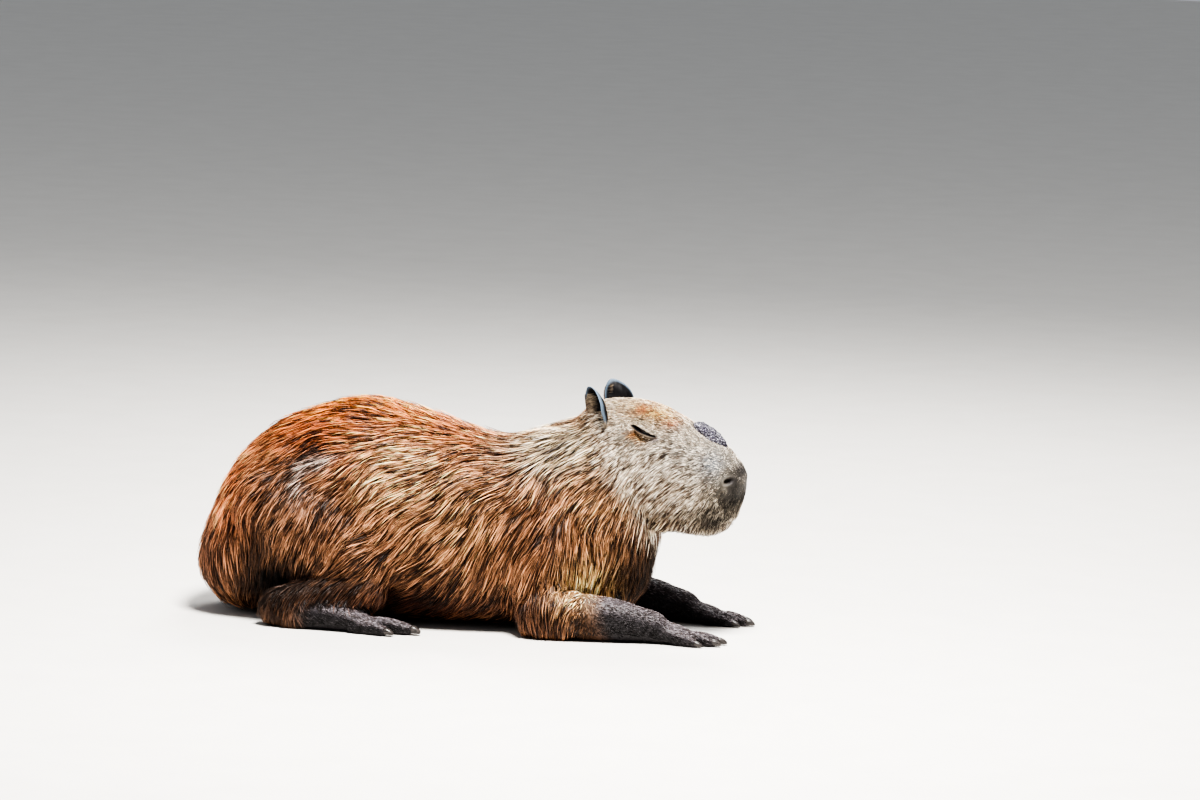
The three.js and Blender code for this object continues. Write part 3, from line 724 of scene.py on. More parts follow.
# %% [markdown]
# ## Markings
# Skin and coat share their colours: a rust back, a paler flank, a tan neck, grey cheeks, a golden forehead
# and a dark snout. Some patches are painted shade or painted highlights, marked where they stand. Each patch
# is a soft spot with a place, its half widths, a colour as seen and a strength.

# %% Patches of colour
BASE = (164, 121, 90)
PATCHES = [
    ((-150, 0, 375), (330, 190, 85), (214, 128, 70), 0.95),
    # Painted highlight: a golden band along the top of the back, where the light from above falls.
    ((-170, 0, 400), (130, 90, 24), (242, 152, 72), 0.7),
    ((-240, 60, 340), (70, 80, 26), (184, 88, 54), 0.65),
    ((-178, 100, 302), (64, 70, 26), (214, 112, 70), 0.55),
    ((-95, 120, 292), (96, 90, 48), (252, 204, 156), 0.85),
    ((-262, 130, 228), (80, 80, 62), (134, 99, 78), 0.8),
    ((-420, 60, 255), (56, 200, 80), (226, 140, 92), 0.8),
    ((-452, 40, 140), (40, 200, 70), (136, 92, 70), 0.8),
    # Painted shade, nearly black: the groove behind the thigh, the lower haunch, above the hind foot and the
    # shank.
    ((-350, 130, 160), (38, 56, 66), (20, 13, 10), 0.95),
    ((-335, 150, 92), (90, 80, 44), (36, 25, 20), 0.9),
    ((-220, 165, 84), (130, 62, 40), (42, 29, 23), 0.88),
    ((-305, 165, 36), (70, 60, 50), (40, 30, 25), 0.92),
    # The dark red-brown of the lower flank and belly, darkened further as painted shade under the body.
    ((-22, 150, 52), (170, 90, 42), (76, 34, 24), 0.88),
    ((36, 140, 230), (76, 80, 66), (200, 158, 116), 0.55),
    ((148, 130, 190), (70, 80, 80), (140, 98, 70), 0.6),
    ((188, 60, 345), (90, 100, 46), (254, 240, 206), 0.97),
    ((262, 80, 246), (56, 80, 50), (192, 152, 112), 0.7),
    # The elbow's golden fringe, painted brighter as painted light where the neck above would shade it.
    ((248, 130, 112), (50, 66, 42), (255, 222, 160), 0.97),
    ((282, 130, 84), (26, 40, 15), (232, 150, 78), 0.7),
    ((170, 150, 56), (60, 60, 36), (74, 50, 38), 0.85),
    # Painted shade: the throat and the front of the chest, nearly black, under the head.
    ((318, 0, 150), (54, 120, 84), (16, 11, 8), 0.97),
]
HEAD_BASE = (246, 234, 212)
HEAD_PATCHES = [
    ((60, 0, 425), (70, 80, 20), (232, 206, 158), 0.7),
    ((122, 40, 400), (62, 60, 20), (240, 176, 96), 0.9),
    ((96, 40, 408), (13, 30, 8), (226, 116, 40), 0.7),
    ((152, 40, 384), (13, 30, 8), (222, 116, 62), 0.7),
    ((97, 60, 386), (24, 30, 8), (242, 228, 196), 0.85),
    ((88, 62, 364), (13, 30, 8), (196, 126, 54), 0.95),
    ((104, 62, 356), (14, 30, 7), (206, 146, 76), 0.9),
    ((128, 60, 358), (7, 20, 5), (196, 184, 204), 0.7),
    ((70, 75, 250), (74, 60, 32), (174, 142, 108), 0.75),
    ((165, 60, 322), (50, 50, 32), (230, 226, 214), 0.8),
    ((158, 60, 284), (26, 40, 18), (134, 116, 96), 0.5),
    # Painted sheen: the top of the snout in pale blue-grey, as a reflection of the light from above.
    ((228, 40, 318), (22, 40, 26), (216, 224, 230), 0.9),
    ((268, 0, 306), (18, 40, 20), (96, 92, 96), 0.85),
    ((266, 30, 290), (14, 34, 14), (66, 62, 65), 0.9),
    ((262, 20, 262), (31, 60, 29), (20, 17, 18), 1.0),
    ((230, 40, 222), (40, 50, 26), (36, 32, 31), 0.92),
    ((150, 50, 214), (50, 50, 20), (146, 124, 98), 0.8),
]
# The line along which the hip's ridge is painted pale: a painted highlight.
HIP_RIDGE = ((-276, 262), (-272, 284), (-250, 298), (-222, 302))
HIP_RIDGE_HIGHLIGHT = (226, 208, 198)
BARE = (92, 87, 90)
# The dark of lid margins, nostrils and mouth, also painted as shade in their recesses and in the hip fold.
DARK_AND_SHADE = (24, 20, 22)
NOSE = (20, 18, 19)


def on_head(points):
    """1 on the head, 0 behind the slanted line from the nape to the throat."""
    p = body_to_head(points)
    return smoothstep(-24, 26, p[:, 0] + 4 - 0.56 * (412 - p[:, 2]))


def bare_share(points):
    """1 where only thin, short hair covers the skin: on the feet and the lower forelegs."""
    x, y, z = mirrored(points).T
    fore = smoothstep(228, 280, x + 0.35 * (z - 60)) * smoothstep(96, 80, z) * (y > 60)
    hind = smoothstep(-288, -246, x) * smoothstep(60, 48, z) * smoothstep(136, 150, y) * (x < -30)
    return np.maximum(fore, hind)


def arm_share(points):
    """1 on the forelegs where they lie on the ground."""
    x, y, z = mirrored(points).T
    return smoothstep(196, 250, x) * smoothstep(98, 84, z) * (y > 60)


def blend_patches(points, colour, patches):
    folded = mirrored(points)
    for place, size, seen, strength in patches:
        share = np.exp(-(((folded - place) / size) ** 2).sum(1)) * strength
        colour += (np.array(srgb(*seen)) - colour) * share[:, None]
    return colour


def coat_colour(points):
    """The linear colour of coat and skin at points in body millimetres."""
    colour = blend_patches(points, np.tile(srgb(*BASE), (len(points), 1)), PATCHES)
    at_side = smoothstep(50, 80, np.abs(points[:, 1]))
    # Painted shade in the hip fold's crease, and a painted highlight along the ridge beside it.
    fold_shade = 0.92 * np.exp(-((path_distance(points, HIP_FOLD) / 6) ** 2)) * at_side
    ridge_highlight = 0.9 * np.exp(-((path_distance(points, HIP_RIDGE) / 10) ** 2)) * at_side
    colour += (np.array(srgb(*HIP_RIDGE_HIGHLIGHT)) - colour) * ridge_highlight[:, None]
    colour += (np.array(srgb(*DARK_AND_SHADE)) - colour) * fold_shade[:, None]
    local = body_to_head(points)
    face = blend_patches(local, np.tile(srgb(*HEAD_BASE), (len(points), 1)), HEAD_PATCHES)
    colour += (face - colour) * on_head(points)[:, None]
    colour += (np.array(srgb(*BARE)) - colour) * bare_share(points)[:, None]
    return colour


def colour_attribute(mesh, name, colours):
    values = np.column_stack((np.clip(colours, 0, 1), np.ones(len(colours)))).astype(np.float32)
    mesh.attributes.new(name, "FLOAT_COLOR", "POINT").data.foreach_set("color", values.ravel())


def value_attribute(mesh, name, values):
    mesh.attributes.new(name, "FLOAT", "POINT").data.foreach_set("value", values.astype(np.float32))


points = to_body(vertex_array(skin))
local = body_to_head(points)
along, rise, out = eye_coordinates(local)
lid_far = np.clip(lid_distance(along, rise), 0, None)
# Lid margins, nostril edges and the mouth line are painted dark: the dark skin there, with painted shade in
# the slit, the pits and the groove.
dark = bump(np.hypot(lid_far, np.clip(np.abs(along) - SLIT_HALF, 0, None) * 0.5), 5.0) * (out > -6)
dark = np.maximum(dark, bump(nostril_distance(local), 1.4))
dark = np.maximum(dark, 0.8 * bump(np.abs(above_mouth(local)), 4) * smoothstep(174, 192, local[:, 0]))
nose_pad = smoothstep(246, 262, local[:, 0]) * bump(np.abs(local[:, 2] - 276), 28)
feet = bare_share(points)
bare = np.maximum.reduce([feet, dark, nose_pad])
tint = coat_colour(points) * (0.14 + 0.86 * bare)[:, None]
tint += (np.array(srgb(*NOSE)) - tint) * (0.85 * nose_pad)[:, None]
# The bare feet are painted lighter on top and darker below: painted light from above and painted shade
# underneath.
tint *= (1 - feet * (0.75 - 0.6 * smoothstep(0.1, 0.9, vertex_normals(skin)[:, 2])))[:, None]
tint += (np.array(srgb(*DARK_AND_SHADE)) - tint) * dark[:, None]
colour_attribute(skin.data, "tint", tint)
value_attribute(skin.data, "bare", bare)
print(len(PATCHES) + len(HEAD_PATCHES), "patches of colour")

# %% [markdown]
# Skin shows on the snout, on the feet and between the tufts. A picture of skin could cover it, but textures
# made from the place alone have no seams: a net of fine cells and folds as a relief, and blotches of colour.

# %% Skin finish
hide, hide_shader = new_material("hide", 0.5, Specular_IOR_Level=0.22)
where = own_place(hide)
blotches = node(hide, "TexNoise", {"Vector": where, "Scale": 90.0, "Detail": 8.0, "Roughness": 0.7})
spots = node(hide, "ValToRGB", {"Fac": blotches.outputs["Fac"]})
spots.color_ramp.elements[0].position = 0.3
spots.color_ramp.elements[0].color = (0.35, 0.33, 0.32, 1)
spots.color_ramp.elements[1].position = 0.68
spots.color_ramp.elements[1].color = (1.5, 1.5, 1.55, 1)
hide_tone = mix(hide, "MULTIPLY", 0.8, carried(hide, "tint"), spots.outputs["Color"])
link(hide, hide_tone, hide_shader.inputs["Base Color"])
cells = node(hide, "TexVoronoi", {"Vector": where, "Scale": 520.0}, feature="DISTANCE_TO_EDGE")
folds = node(hide, "TexNoise", {"Vector": where, "Scale": 160.0, "Detail": 5.0})
height = mix(hide, "MULTIPLY", 1.0, cells.outputs["Distance"], folds.outputs["Color"])
relief(hide, hide_shader, 0.6, 0.0012, height)
gloss = node(hide, "MapRange", {"Value": carried(hide, "bare", "Fac"), "To Min": 0.75, "To Max": 0.42})
link(hide, gloss.outputs["Result"], hide_shader.inputs["Roughness"])
skin.data.materials.append(hide)
print(len(hide.node_tree.nodes), "shader nodes in the skin")

# %% [markdown]
# ## Ears, eyes, gland and claws
# Each starts as a plain ball or loft and is shaped point by point. The ears are folded cups: the front wall
# curls over a hollow painted dark as shade, and the rear flap lies open.


# %% Shaped balls
def ball_object(name, segments, rings, shape, material):
    """A ball whose unit points are turned into body millimetres by shape, with a tint for each point."""
    bpy.ops.mesh.primitive_uv_sphere_add(segments=segments, ring_count=rings, radius=1)
    made = bpy.context.object
    made.name = name
    placed, colours = shape(vertex_array(made))
    made.data.vertices.foreach_set("co", to_frame(placed).astype(np.float32).ravel())
    made.data.update()
    in_edit_mode(made, bpy.ops.mesh.quads_convert_to_tris, bpy.ops.mesh.normals_make_consistent)
    bpy.ops.object.shade_smooth()
    colour_attribute(made.data, "tint", colours)
    made.data.materials.append(material)
    return made


SIDES = (("left", 1), ("right", -1))
EAR = np.array((18.0, 62.0, 406.0))
EAR_FRONT = np.array((0.89, 0.45, 0.0))
GLAND = np.array((208.0, 0.0, 364.5))


def ear_shape(side):
    """The shape of one ear: unit x to its front edge, y to where it opens, z to its tip."""
    front = EAR_FRONT * (1, side, 1)
    opening = np.array((-0.45, 0.89 * side, 0.05))
    tall = np.array((-0.2, 0.06 * side, 0.97))

    def shape(unit):
        a, o, t = unit[:, 0], unit[:, 1], unit[:, 2]
        a = a * (1 - 0.25 * np.clip(t, 0, 1) ** 2)
        radial = np.clip(np.hypot(unit[:, 0], t), 0, 1)
        hollow = 0.22 - (1.0 + 0.5 * a) * (1 - radial**2) ** 0.6
        inside = o > 0.0
        o = np.where(inside, np.minimum(o * 0.2, hollow), o * (0.8 + 0.2 * a))
        # The front wall curls out over the hollow, and the tip leans back.
        o = o + 0.95 * np.clip(a, 0, 1) ** 2 - 0.12 * np.clip(-a, 0, 1) ** 2
        a = a - 0.22 * np.clip(a, 0, 1) ** 2 - 0.34 * np.clip(t, 0, 1) ** 2
        waves = 0.03 * np.sin(9 * t + 3 * a) + 0.02 * np.sin(17 * a - 5 * t)
        placed = EAR * (1, side, 1) + np.outer(a * 31, front)
        placed = placed + np.outer((o + waves) * 15, opening) + np.outer(t * 39, tall)
        # The rim is painted pale blue-grey: a painted sheen where the edge catches the light. The back of
        # the cup is dark skin, painted darker than the inside as shade, and the hollow under the front wall
        # is painted near black as shade.
        rim = smoothstep(0.84, 0.98, radial)[:, None]
        hollow_shade = (inside * smoothstep(0.99, 0.8, radial) * smoothstep(-0.75, -0.4, unit[:, 0]))[:, None]
        colours = np.where(inside[:, None], srgb(44, 40, 42), srgb(16, 14, 16))
        colours = colours + (np.array(srgb(86, 99, 112)) - colours) * rim
        colours = colours + (np.array(srgb(7, 5, 6)) - colours) * hollow_shade
        return head_to_body(placed), colours

    return shape


ear_hide, ear_shader = new_material("ear_hide", 0.6, Specular_IOR_Level=0.2)
where = own_place(ear_hide)
veins = node(ear_hide, "TexNoise", {"Vector": where, "Scale": 240.0, "Detail": 6.0, "Distortion": 1.5})
ear_tone = mix(ear_hide, "OVERLAY", 0.5, carried(ear_hide, "tint"), veins.outputs["Fac"])
link(ear_hide, ear_tone, ear_shader.inputs["Base Color"])
relief(ear_hide, ear_shader, 0.5, 0.001, veins.outputs["Fac"])


def eye_shape(side):
    """A ball with the bulge of the cornea, and a dark iris round the pupil."""

    def shape(unit):
        axis = unit @ np.array((0.35, 0.93 * side, 0.1))
        swell = 1 + 0.05 * smoothstep(0.75, 1.0, axis)
        placed = EYE * (1, side, 1) + unit * (EYE_RADIUS * swell)[:, None]
        iris = smoothstep(0.62, 0.72, axis) * smoothstep(0.93, 0.86, axis)
        colours = np.tile(srgb(22, 16, 14), (len(unit), 1))
        colours = colours + (np.array(srgb(58, 34, 20)) - colours) * iris[:, None]
        return head_to_body(placed), colours

    return shape


eye_gloss, eye_shader = new_material("eye_gloss", 0.06)
link(eye_gloss, carried(eye_gloss, "tint"), eye_shader.inputs["Base Color"])


def gland_shape(unit):
    """The gland's bare mound on the snout, lumpy and seamed."""
    tip = math.radians(33)
    x, y, z = unit[:, 0], unit[:, 1], unit[:, 2]
    lumps = 0.5 * np.sin(x * 11 + 2 * np.sin(y * 6)) * np.sin(y * 9 + 1.7 * x)
    lumps += 0.45 * np.sin(x * 27 + y * 15) * np.sin(y * 21)
    angle = np.arctan2(y, x)
    edge = 1 + 0.05 * np.sin(5 * angle + 1) + 0.04 * np.sin(8 * angle)
    q = np.column_stack((x * 36 * edge, y * 20.5 * edge, z * (12.5 + 2.2 * lumps)))
    placed = np.column_stack((q[:, 0] * math.cos(tip) + q[:, 2] * math.sin(tip), q[:, 1],
                              -q[:, 0] * math.sin(tip) + q[:, 2] * math.cos(tip)))
    # The tone follows the lumps, darker in the dips: painted shade.
    colours = np.tile(srgb(60, 54, 70), (len(unit), 1)) * (0.75 + 0.5 * lumps[:, None])
    return head_to_body(placed + GLAND), colours


gland_skin, gland_shader = new_material("gland_skin", 0.2)
where = own_place(gland_skin)
# Painted shade along the seams between the cells, and pale flecks as painted glints.
cells = node(gland_skin, "TexVoronoi", {"Vector": where, "Scale": 420.0})
seam_shade_range = {"Value": cells.outputs["Distance"], "From Max": 0.6, "To Min": 1.3, "To Max": 0.5}
seam_shade = node(gland_skin, "MapRange", seam_shade_range)
gland_tone = mix(gland_skin, "MULTIPLY", 1.0, carried(gland_skin, "tint"), seam_shade.outputs["Result"])
glint_noise = node(gland_skin, "TexNoise", {"Vector": where, "Scale": 520.0, "Detail": 3.0})
glints = node(gland_skin, "MapRange", {"Value": glint_noise.outputs["Fac"], "From Min": 0.58, "From Max": 0.68})
gland_tone = mix(gland_skin, "MIX", glints.outputs["Result"], gland_tone, (0.62, 0.62, 0.7, 1))
link(gland_skin, gland_tone, gland_shader.inputs["Base Color"])
relief(gland_skin, gland_shader, 0.9, 0.0022, cells.outputs["Distance"])

ears = {}
for side_name, side in SIDES:
    ears[side_name] = ball_object(f"ear_{side_name}_cup", 56, 40, ear_shape(side), ear_hide)
    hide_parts(f"ear_{side_name}")
    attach(ears[side_name], "root")
    eye = ball_object(f"eye_{side_name}_ball", 48, 32, eye_shape(side), eye_gloss)
    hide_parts(f"eye_{side_name}")
    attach(eye, "root")
gland = ball_object("gland_mound", 72, 48, gland_shape, gland_skin)
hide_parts("snout_gland")
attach(gland, "root")
print(len(ears), "ears,", len(ears), "eyes and a gland")

# %% [markdown]
# A claw is a blunt wedge of horn. A ball would be too round for it, so each is a short loft with squarish
# rings, and fine streaks run along it.

# %% Claws
CLAW = 17.0
horn, horn_shader = new_material("horn", 0.34)
stretched = node(horn, "Mapping", {"Vector": own_place(horn), "Scale": (60.0, 900.0, 500.0)})
streaks = node(horn, "TexNoise", {"Vector": stretched.outputs["Vector"], "Scale": 1.0, "Detail": 4.0})
horn_tone = node(horn, "ValToRGB", {"Fac": streaks.outputs["Fac"]})
horn_tone.color_ramp.elements[0].position = 0.35
horn_tone.color_ramp.elements[0].color = (*srgb(26, 23, 23), 1)
horn_tone.color_ramp.elements[1].position = 0.7
horn_tone.color_ramp.elements[1].color = (*srgb(84, 78, 75), 1)
link(horn, horn_tone.outputs["Color"], horn_shader.inputs["Base Color"])


def claw_stations(root, tip, wide):
    """A blunt, hoof-like claw on the end of a toe."""
    root, tip = np.array(root, float), np.array(tip, float)
    ahead = (tip - root) / np.linalg.norm(tip - root) * CLAW
    broad = wide * 0.64
    rows = (
        (-0.75, wide * 0.95, 0, 0, 0),
        (-0.45, wide * 0.95, broad, broad * 0.85, broad),
        (-0.05, wide * 0.8, broad, broad * 0.8, broad * 0.9),
        (0.32, wide * 0.52, broad * 0.68, broad * 0.55, broad * 0.55),
        (0.46, wide * 0.38, broad * 0.3, broad * 0.2, broad * 0.25),
        (0.5, wide * 0.36, 0, 0, 0),
    )
    return [(*(tip + ahead * past), z, w, u, d) for past, z, w, u, d in rows]


for side_name, side in SIDES:
    lead = FORE_LEAD if side == 1 else 0.0
    claw_feet = (("forefoot", FORE_TOES, FORE_ROOT, lead), ("hindfoot", HIND_TOES, HIND_ROOT, 0))
    for foot, toes, root, ahead in claw_feet:
        for toe, a, b, wide in toes:
            vertices, faces = loft(claw_stations(a, b, wide), 18, 5, 2.3)
            vertices[:, 2] = np.maximum(vertices[:, 2], 0.3)
            placed = foot_place(vertices, root, side, ahead)
            claw = mesh_object(f"claw_{foot}_{side_name}_{toe}", placed, faces)
            in_edit_mode(claw, bpy.ops.mesh.normals_make_consistent)
            bpy.ops.object.shade_smooth()
            claw.data.materials.append(horn)
            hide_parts(f"{foot}_{side_name}_claw_{toe}")
            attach(claw, "root")
print((len(FORE_TOES) + len(HIND_TOES)) * len(SIDES), "claws")

# %% [markdown]
# ## Coat
# Each tuft takes its place on an unwrap of the skin at its root, so that a picture of the colours can be
# made for the coat.

# %% Unwrap the skin
FLATTEST = math.radians(66)
skin.data.uv_layers.new(name="OFBake")
in_edit_mode(skin, lambda: bpy.ops.uv.smart_project(angle_limit=FLATTEST, island_margin=0.003))
print(len(skin.data.loops), "corners unwrapped")

# %% [markdown]
# Hair follows the surface that it grows on. A search tree over its triangles finds the nearest skin for any
# place, so that a tuft can be laid over folds and toes alike.

# %% Surfaces that hair grows on
def surface_of(target):
    """A mesh's triangles, normals and search tree, in body millimetres."""
    mesh = target.data
    triangles = np.empty(len(mesh.polygons) * 3, np.int32)
    mesh.polygons.foreach_get("vertices", triangles)
    triangles = triangles.reshape(-1, 3)
    points = to_body(vertex_array(target))
    corners = points[triangles]
    cross = np.cross(corners[:, 1] - corners[:, 0], corners[:, 2] - corners[:, 0])
    return SimpleNamespace(
        triangles=triangles,
        corners=corners,
        normals=vertex_normals(target),
        areas=np.linalg.norm(cross, axis=1) / 2,
        middles=corners.mean(1),
        tree=BVHTree.FromPolygons(points.tolist(), triangles.tolist()),
    )


def nearest(surface, places):
    """The nearest point of a surface, its normal and its triangle, for each place."""
    found = [surface.tree.find_nearest(place) for place in places.tolist()]
    return np.array([f[0] for f in found]), np.array([f[1] for f in found]), np.array([f[2] for f in found])


body = surface_of(skin)
uv_list = np.empty(len(skin.data.loops) * 2, np.float32)
skin.data.uv_layers["OFBake"].uv.foreach_get("vector", uv_list)
corner_uvs = uv_list.reshape(-1, 3, 2).astype(float)
print("skin area", round(body.areas.sum() / 1e6, 3), "square metres")

# %% [markdown]
# The lie and the length of the hair are measured at a few places. Each row gives a place along and above,
# the angle in degrees by which the hair falls on its way back, and its length. Between them they blend.

# %% How the coat lies
BODY_LIE = np.array([
    (-150, 390, 6, 36), (-237, 334, 18, 40), (-384, 272, 50, 44), (-430, 160, 80, 46), (-457, 88, 88, 42),
    (-292, 258, 62, 40), (-200, 245, 66, 38), (-237, 116, 58, 30), (-300, 80, 74, 26), (-108, 286, 30, 44),
    (-17, 273, 38, 48), (38, 202, 58, 52), (-108, 123, 36, 40), (-17, 58, 48, 44), (75, 331, 22, 42),
    (148, 281, 62, 46), (185, 138, 76, 50), (259, 142, 82, 44), (185, 374, 25, 30), (259, 305, 52, 34),
    (300, 150, 88, 32), (150, 50, 84, 32), (-366, 219, 82, 46), (-350, 150, 88, 42), (-400, 110, 90, 44),
    (-318, 316, 34, 42),
], float)
HEAD_LIE = np.array([
    (20, 415, 8, 16), (75, 420, 4, 13), (140, 390, -8, 11), (190, 365, -14, 8), (40, 350, 40, 22),
    (90, 330, 42, 20), (20, 270, 56, 38), (90, 280, 52, 34), (110, 230, 54, 36), (150, 300, 40, 24),
    (150, 240, 50, 31), (200, 310, 22, 13), (200, 250, 42, 19), (200, 212, 65, 18), (245, 240, 75, 10),
    (235, 200, 96, 15), (245, 320, 8, 5), (262, 280, 30, 3.5), (97, 386, 12, 4), (88, 356, 34, 6),
], float)


def read_table(points, table, reach):
    """The blend of a table's last two columns at points, by their distance along and above."""
    far = ((points[:, None, (0, 2)] - table[None, :, :2]) ** 2).sum(2)
    share = np.exp(-(far - far.min(1)[:, None]) / (2 * reach**2))
    return share @ table[:, 2:] / share.sum(1)[:, None]


def lie_and_length(points):
    """The angle at which the hair falls, and its length, at body points."""
    on_body = read_table(points, BODY_LIE, 42)
    head_rows = read_table(body_to_head(points), HEAD_LIE, 20)
    blend = on_body + (head_rows - on_body) * on_head(points)[:, None]
    length = blend[:, 1]
    length = length + (9 - length) * arm_share(points)
    length = length + (8 - length) * bare_share(points)
    at_side = np.abs(points[:, 1]) > 60
    length *= 1 - 0.4 * np.exp(-((path_distance(points, HIP_FOLD) / 16) ** 2)) * at_side
    return np.radians(blend[:, 0]), length


def lie(points, normals):
    """The direction that the hair runs in along the skin, at body points."""
    fall, _ = lie_and_length(points)
    x, z = points[:, 0], points[:, 2]
    swirl = 0.2 * np.sin(x * 0.041 + 1.6 * np.sin(z * 0.027)) + 0.13 * np.sin(z * 0.083 + x * 0.021)
    fall = fall + swirl * (1 - 0.7 * on_head(points))
    flow = np.column_stack((-np.cos(fall), np.zeros(len(fall)), -np.sin(fall)))
    flow += (np.array((0.93, 0, -0.36)) - flow) * bare_share(points)[:, None]
    flow -= normals * (flow * normals).sum(1)[:, None]
    return flow / np.maximum(np.linalg.norm(flow, axis=1), 1e-6)[:, None]


def unit_rows(rows):
    return rows / np.maximum(np.linalg.norm(rows, axis=1), 1e-6)[:, None]

# %% [markdown]
# Hair could be curves without thickness, but a solid model needs solid hair. Each tuft is a thin blade with
# three edges. It's laid over the skin step by step, and bends towards the tip of its clump.

# %% Tufts
random = np.random.default_rng(11)
SHARE = 1.0
HAIR_OFF_GROUND = 0.6


def scatter(surface, count, density):
    """Root places, more where density is high: their points, normals, triangles and places in them."""
    share = surface.areas * density
    chosen = random.choice(len(share), int(count * SHARE), p=share / share.sum())
    a, b = random.random((2, len(chosen)))
    a, b = np.where(a + b > 1, 1 - a, a), np.where(a + b > 1, 1 - b, b)
    parts = np.column_stack((1 - a - b, a, b))[..., None]
    at = (surface.corners[chosen] * parts).sum(1)
    normal = unit_rows((surface.normals[surface.triangles[chosen]] * parts).sum(1))
    return at, normal, chosen, parts


def clumps_on(surface, count, density):
    """Middles of clumps, the tip that each runs to, and how light each is."""
    at, normal, _, _ = scatter(surface, count / SHARE, density)
    _, length = lie_and_length(at)
    finder = kdtree.KDTree(len(at))
    for i, place in enumerate(at.tolist()):
        finder.insert(place, i)
    finder.balance()
    tips = at + lie(at, normal) * (length * 0.95)[:, None]
    return SimpleNamespace(finder=finder, tips=tips, light=random.normal(0, 0.15, len(at)))


def tufts(surface, roots, clumps, shares, pull, thick, rise, hang=0.0, stretch=1.0):
    """A batch of tufts: three-edged, tapered blades that follow the skin from root to tip.

    shares are the rings' places along a tuft, pull how far it bends to its clump's tip, thick and rise its
    width and height as shares of its length, hang how far its tip falls free of the skin, and stretch how
    much longer it is than the coat there. Roots are buried a little, so that no gap shows."""
    at, normal, chosen, parts = roots
    count, rings = len(at), len(shares)
    _, length = lie_and_length(at)
    length = length * random.uniform(0.65, 1.2, count) * stretch
    width = np.clip(length * thick, 0.6, 3.0) * random.uniform(0.6, 1.3, count)
    found = [clumps.finder.find(place) for place in at.tolist()]
    own = np.array([f[1] for f in found])
    off_middle = np.clip(np.array([f[2] for f in found]) / 9, 0, 1)
    lift = np.clip(length * rise, 0.5, 10) * random.uniform(0.5, 1.1, count) * (1.2 - 0.75 * off_middle)
    step = unit_rows(lie(at, normal) * (1 - pull) + unit_rows(clumps.tips[own] - at) * pull)
    step = step + random.normal(0, 0.07, (count, 3))
    buried = 1.5 if surface is body else 0.3
    places, sides, ups = [at - normal * buried], [], []
    spot, n, done = at, normal, 0.0
    for share in [*shares[1:], 1.0]:
        d = unit_rows(step - n * (step * n).sum(1)[:, None])
        sides.append(np.cross(n, d))
        ups.append(n)
        run = ((share - done) * length)[:, None]
        free = places[-1] + d * run + np.array((0, 0, -0.5)) * run
        spot, n, _ = nearest(surface, spot + d * run)
        laid = spot + n * (lift * math.sin(0.5 * math.pi * share) ** 0.8)[:, None]
        places.append(laid + (free - laid) * hang * share)
        step = step * 0.75 + lie(spot, n) * 0.25
        done = share
    taper = np.interp(shares, (0, 0.3, 0.75, 1), (0.75, 1, 0.66, 0.15))
    vertices = []
    for i in range(rings):
        half = sides[i] * (width * taper[i] / 2)[:, None]
        crest = ups[i] * (width * taper[i] * 0.45)[:, None]
        vertices += [places[i] + half, places[i] - half, places[i] + crest]
    stack = np.stack([*vertices, places[-1]], 1)
    stack[..., 2] = np.maximum(stack[..., 2], HAIR_OFF_GROUND)
    pattern = [(0, 2, 1)]
    for i in range(rings - 1):
        for k in range(3):
            a, b = 3 * i + k, 3 * i + (k + 1) % 3
            pattern += [(a, b, b + 3), (a, b + 3, a + 3)]
    pattern += [(3 * rings - 3 + k, 3 * rings - 3 + (k + 1) % 3, 3 * rings) for k in range(3)]
    pattern = np.array(pattern)
    sample = stack[:500, pattern] - stack[:500, None, None, 0]
    if np.einsum("nij,nij->", sample[:, :, 0], np.cross(sample[:, :, 1], sample[:, :, 2])) < 0:
        pattern = pattern[:, ::-1]
    if surface is body:
        uv = (corner_uvs[chosen] * parts).sum(1)
    else:
        uv = corner_uvs[nearest(body, at)[2]].mean(1)
    vary = np.clip(random.normal(0.46, 0.29, count) + clumps.light[own], 0, 1)
    along = np.array([shares[i // 3] for i in range(3 * rings)] + [1.0])
    across = np.array([(-1, 1, 0)[i % 3] for i in range(3 * rings)] + [0.0])
    return SimpleNamespace(stack=stack, pattern=pattern, along=along, across=across, uv=uv, vary=vary,
                           tint=coat_colour(at), upward=normal[:, 2])


PATCH = 0.0015


